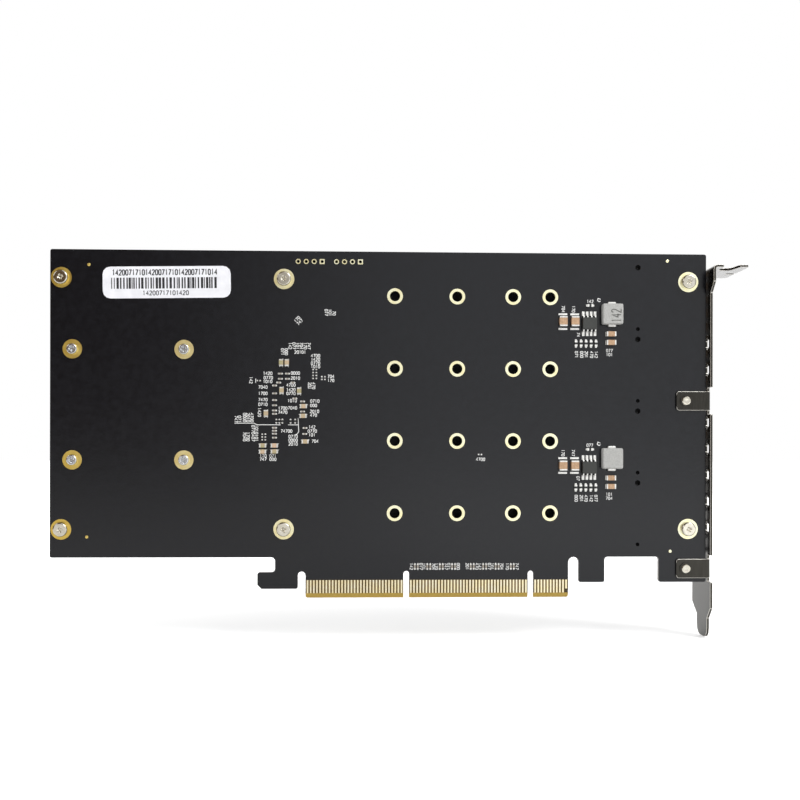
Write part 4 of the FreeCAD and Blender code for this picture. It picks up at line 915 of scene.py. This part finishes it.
# The two screws pass through the board from the hidden side, and their tips stand a little
# proud of the tapped collars on the tabs.
TIP_R = 1.45
TIP_SIDES = 40
BRACKET_HEAD = (2.8, 1.8)
bracket_low, bracket_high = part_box("bracket_screws")
tip_y, head_seat = bracket_low.y / MM, bracket_high.y / MM - BRACKET_HEAD[1]
head = skin(cross_head(*BRACKET_HEAD, FINE_RECESS) * (1, -1, 1) + (0, head_seat, 0))
tip = skin(turned([(0.25, tip_y + 0.1), (0.6, tip_y + 0.02), (TIP_R - 0.45, tip_y),
                   (TIP_R - 0.2, tip_y + 0.05), (TIP_R, tip_y + 0.3), (TIP_R, head_seat)], TIP_SIDES))
put("bracket_screws_turned", joined([copies(head, screw_places), copies(tip, screw_places)]), nickel,
    "nickel_screw", "bracket_screws", smooth=True)

# ================================================================ floor, light and camera
# The card stands on a pale floor in a plain soft studio. Metal and gloss find the room bright to
# the right of the card, and dim and warm to its left.
BRIGHT_SIDE = (1.0, 0.0, 0.0)
ROOM_EDGE = {"From Min": -0.21, "From Max": 0.05}
DARK_SIDE = "#64503A"
# The floor's own light: how strong it is near the card and in reflections, and where it reaches 1.
FLOOR_GLOW = 0.35
FLOOR_IN_MIRRORS = 0.6
FLOOR_FADE = {"From Min": 0.2, "From Max": 0.6, "To Min": FLOOR_GLOW, "To Max": 1.0}
FLOOR_REACH = 6.0
FLOOR_BELOW = 0.0003
ROOM_GREY = 0.4


def room(made, place, way):
    """Rays, the share that is reflected or passed through, and the room's colour that way.

    The direction is levelled and brought to length 1, and its dot product with BRIGHT_SIDE, spread
    between the ends of ROOM_EDGE, mixes DARK_SIDE with white.
    """
    rays = add(made, "ShaderNodeLightPath", {})
    level = add(made, "ShaderNodeVectorMath", {"operation": "MULTIPLY", 1: (1.0, 1.0, 0.0)}, (place, way, 0))
    level = add(made, "ShaderNodeVectorMath", {"operation": "NORMALIZE"}, (level, 0, 0))
    bearing = add(made, "ShaderNodeVectorMath", {"operation": "DOT_PRODUCT", 1: BRIGHT_SIDE}, (level, 0, 0))
    share = add(made, "ShaderNodeMapRange", ROOM_EDGE, (bearing, "Value", "Value"))
    mirror = math_node(made, "MAXIMUM", (rays, "Is Glossy Ray", 0), (rays, "Is Transmission Ray", 1))
    return rays, mirror, mix(made, DARK_SIDE, WHITE, (share, 0, 0))


floor_paint = bpy.data.materials.new("pale_studio_floor")
floor_paint.use_nodes = True
floor_paint.node_tree.nodes.clear()
place = add(floor_paint, "ShaderNodeTexCoord", {})
rays, mirror, tone = room(floor_paint, place, "Object")
tone = mix(floor_paint, None, WHITE, (rays, "Is Camera Ray", 0), (tone, 2, 6))
mirror = math_node(floor_paint, "MULTIPLY", (mirror, 0, 0), by=FLOOR_IN_MIRRORS)
seen = math_node(floor_paint, "MAXIMUM", (rays, "Is Camera Ray", 0), (mirror, 0, 1))
away = add(floor_paint, "ShaderNodeVectorMath", {"operation": "LENGTH"}, (place, "Object", 0))
fade = add(floor_paint, "ShaderNodeMapRange", FLOOR_FADE, (away, "Value", "Value"))
glow = math_node(floor_paint, "MULTIPLY", (seen, 0, 0), (fade, 0, 1))
paint = add(floor_paint, "ShaderNodeBsdfPrincipled",
            {"Base Color": linear("#F2F2F2"), "Roughness": 0.9, "Specular IOR Level": 0.0},
            (tone, 2, "Emission Color"), (glow, 0, "Emission Strength"))
add(floor_paint, "ShaderNodeOutputMaterial", {}, (paint, "BSDF", "Surface"))
floor_mesh = bpy.data.meshes.new("floor")
floor_corners = [(a * FLOOR_REACH, b * FLOOR_REACH, cad_low.z - FLOOR_BELOW)
                 for a, b in ((-1, -1), (1, -1), (1, 1), (-1, 1))]
floor_mesh.from_pydata(floor_corners, [], [(0, 1, 2, 3)])
floor_mesh.materials.append(floor_paint)
floor = bpy.data.objects.new("floor", floor_mesh)
bpy.context.scene.collection.objects.link(floor)

# World: white where it is looked at, the same room in reflections, and a plain grey as diffuse light.
world = bpy.data.worlds.new("soft_studio")
bpy.context.scene.world = world
world.use_nodes = True
world.node_tree.nodes.clear()
rays, mirror, tone = room(world, add(world, "ShaderNodeTexCoord", {}), "Generated")
tone = add(world, "ShaderNodeMix", {"data_type": "RGBA", 6: (ROOM_GREY, ROOM_GREY, ROOM_GREY, 1.0)},
           (mirror, 0, 0), (tone, 2, 7))
tone = mix(world, None, WHITE, (rays, "Is Camera Ray", 0), (tone, 2, 6))
sky = add(world, "ShaderNodeBackground", {"Strength": 1.0}, (tone, 2, "Color"))
add(world, "ShaderNodeOutputWorld", {}, (sky, 0, "Surface"))

card_middle = (cad_low + cad_high) / 2
# Each lamp: name, place in metres, width and height in metres, power in watts.
LAMPS = (("key_softbox", (0.75, -0.75, 1.05), (0.7, 0.7), 14.0),
         ("left_fill", (-1.1, -0.6, 0.7), (0.7, 0.7), 4.0),
         ("back_light", (0.1, 0.9, 0.9), (0.8, 0.5), 8.0))
for name, place, (width, height), power in LAMPS:
    lamp_data = bpy.data.lights.new(name, "AREA")
    lamp_data.shape = "RECTANGLE"
    lamp_data.size = width
    lamp_data.size_y = height
    lamp_data.energy = power
    lamp = bpy.data.objects.new(name, lamp_data)
    lamp.location = place
    lamp.rotation_euler = (card_middle - Vector(place)).to_track_quat("-Z", "Y").to_euler()
    bpy.context.scene.collection.objects.link(lamp)

# Camera: level with the middle of the card and turned two degrees towards the bracket.
CAMERA_PLACE = (-0.05393, -0.33718, 0.04688)
CAMERA_PITCH, CAMERA_YAW, CAMERA_ROLL = (math.radians(a) for a in (-0.035, 2.046, -0.109))
camera_data = bpy.data.cameras.new("camera")
camera_data.sensor_width = 36.0
camera_data.lens = 47.32
camera_data.shift_x = -0.0006
camera_data.shift_y = 0.0631
camera_data.clip_start = 0.01
camera_data.clip_end = 50.0
camera = bpy.data.objects.new("camera", camera_data)
turn = (Matrix.Rotation(CAMERA_ROLL, 3, "Z") @ Matrix.Rotation(CAMERA_PITCH, 3, "X")
        @ Matrix.Rotation(CAMERA_YAW, 3, "Y"))
upright = Matrix.Rotation(math.radians(90), 3, "X") @ turn.transposed()
camera.matrix_world = Matrix.Translation(CAMERA_PLACE) @ upright.to_4x4()
bpy.context.scene.collection.objects.link(camera)
bpy.context.scene.camera = camera
bpy.context.scene.view_settings.view_transform = "Standard"
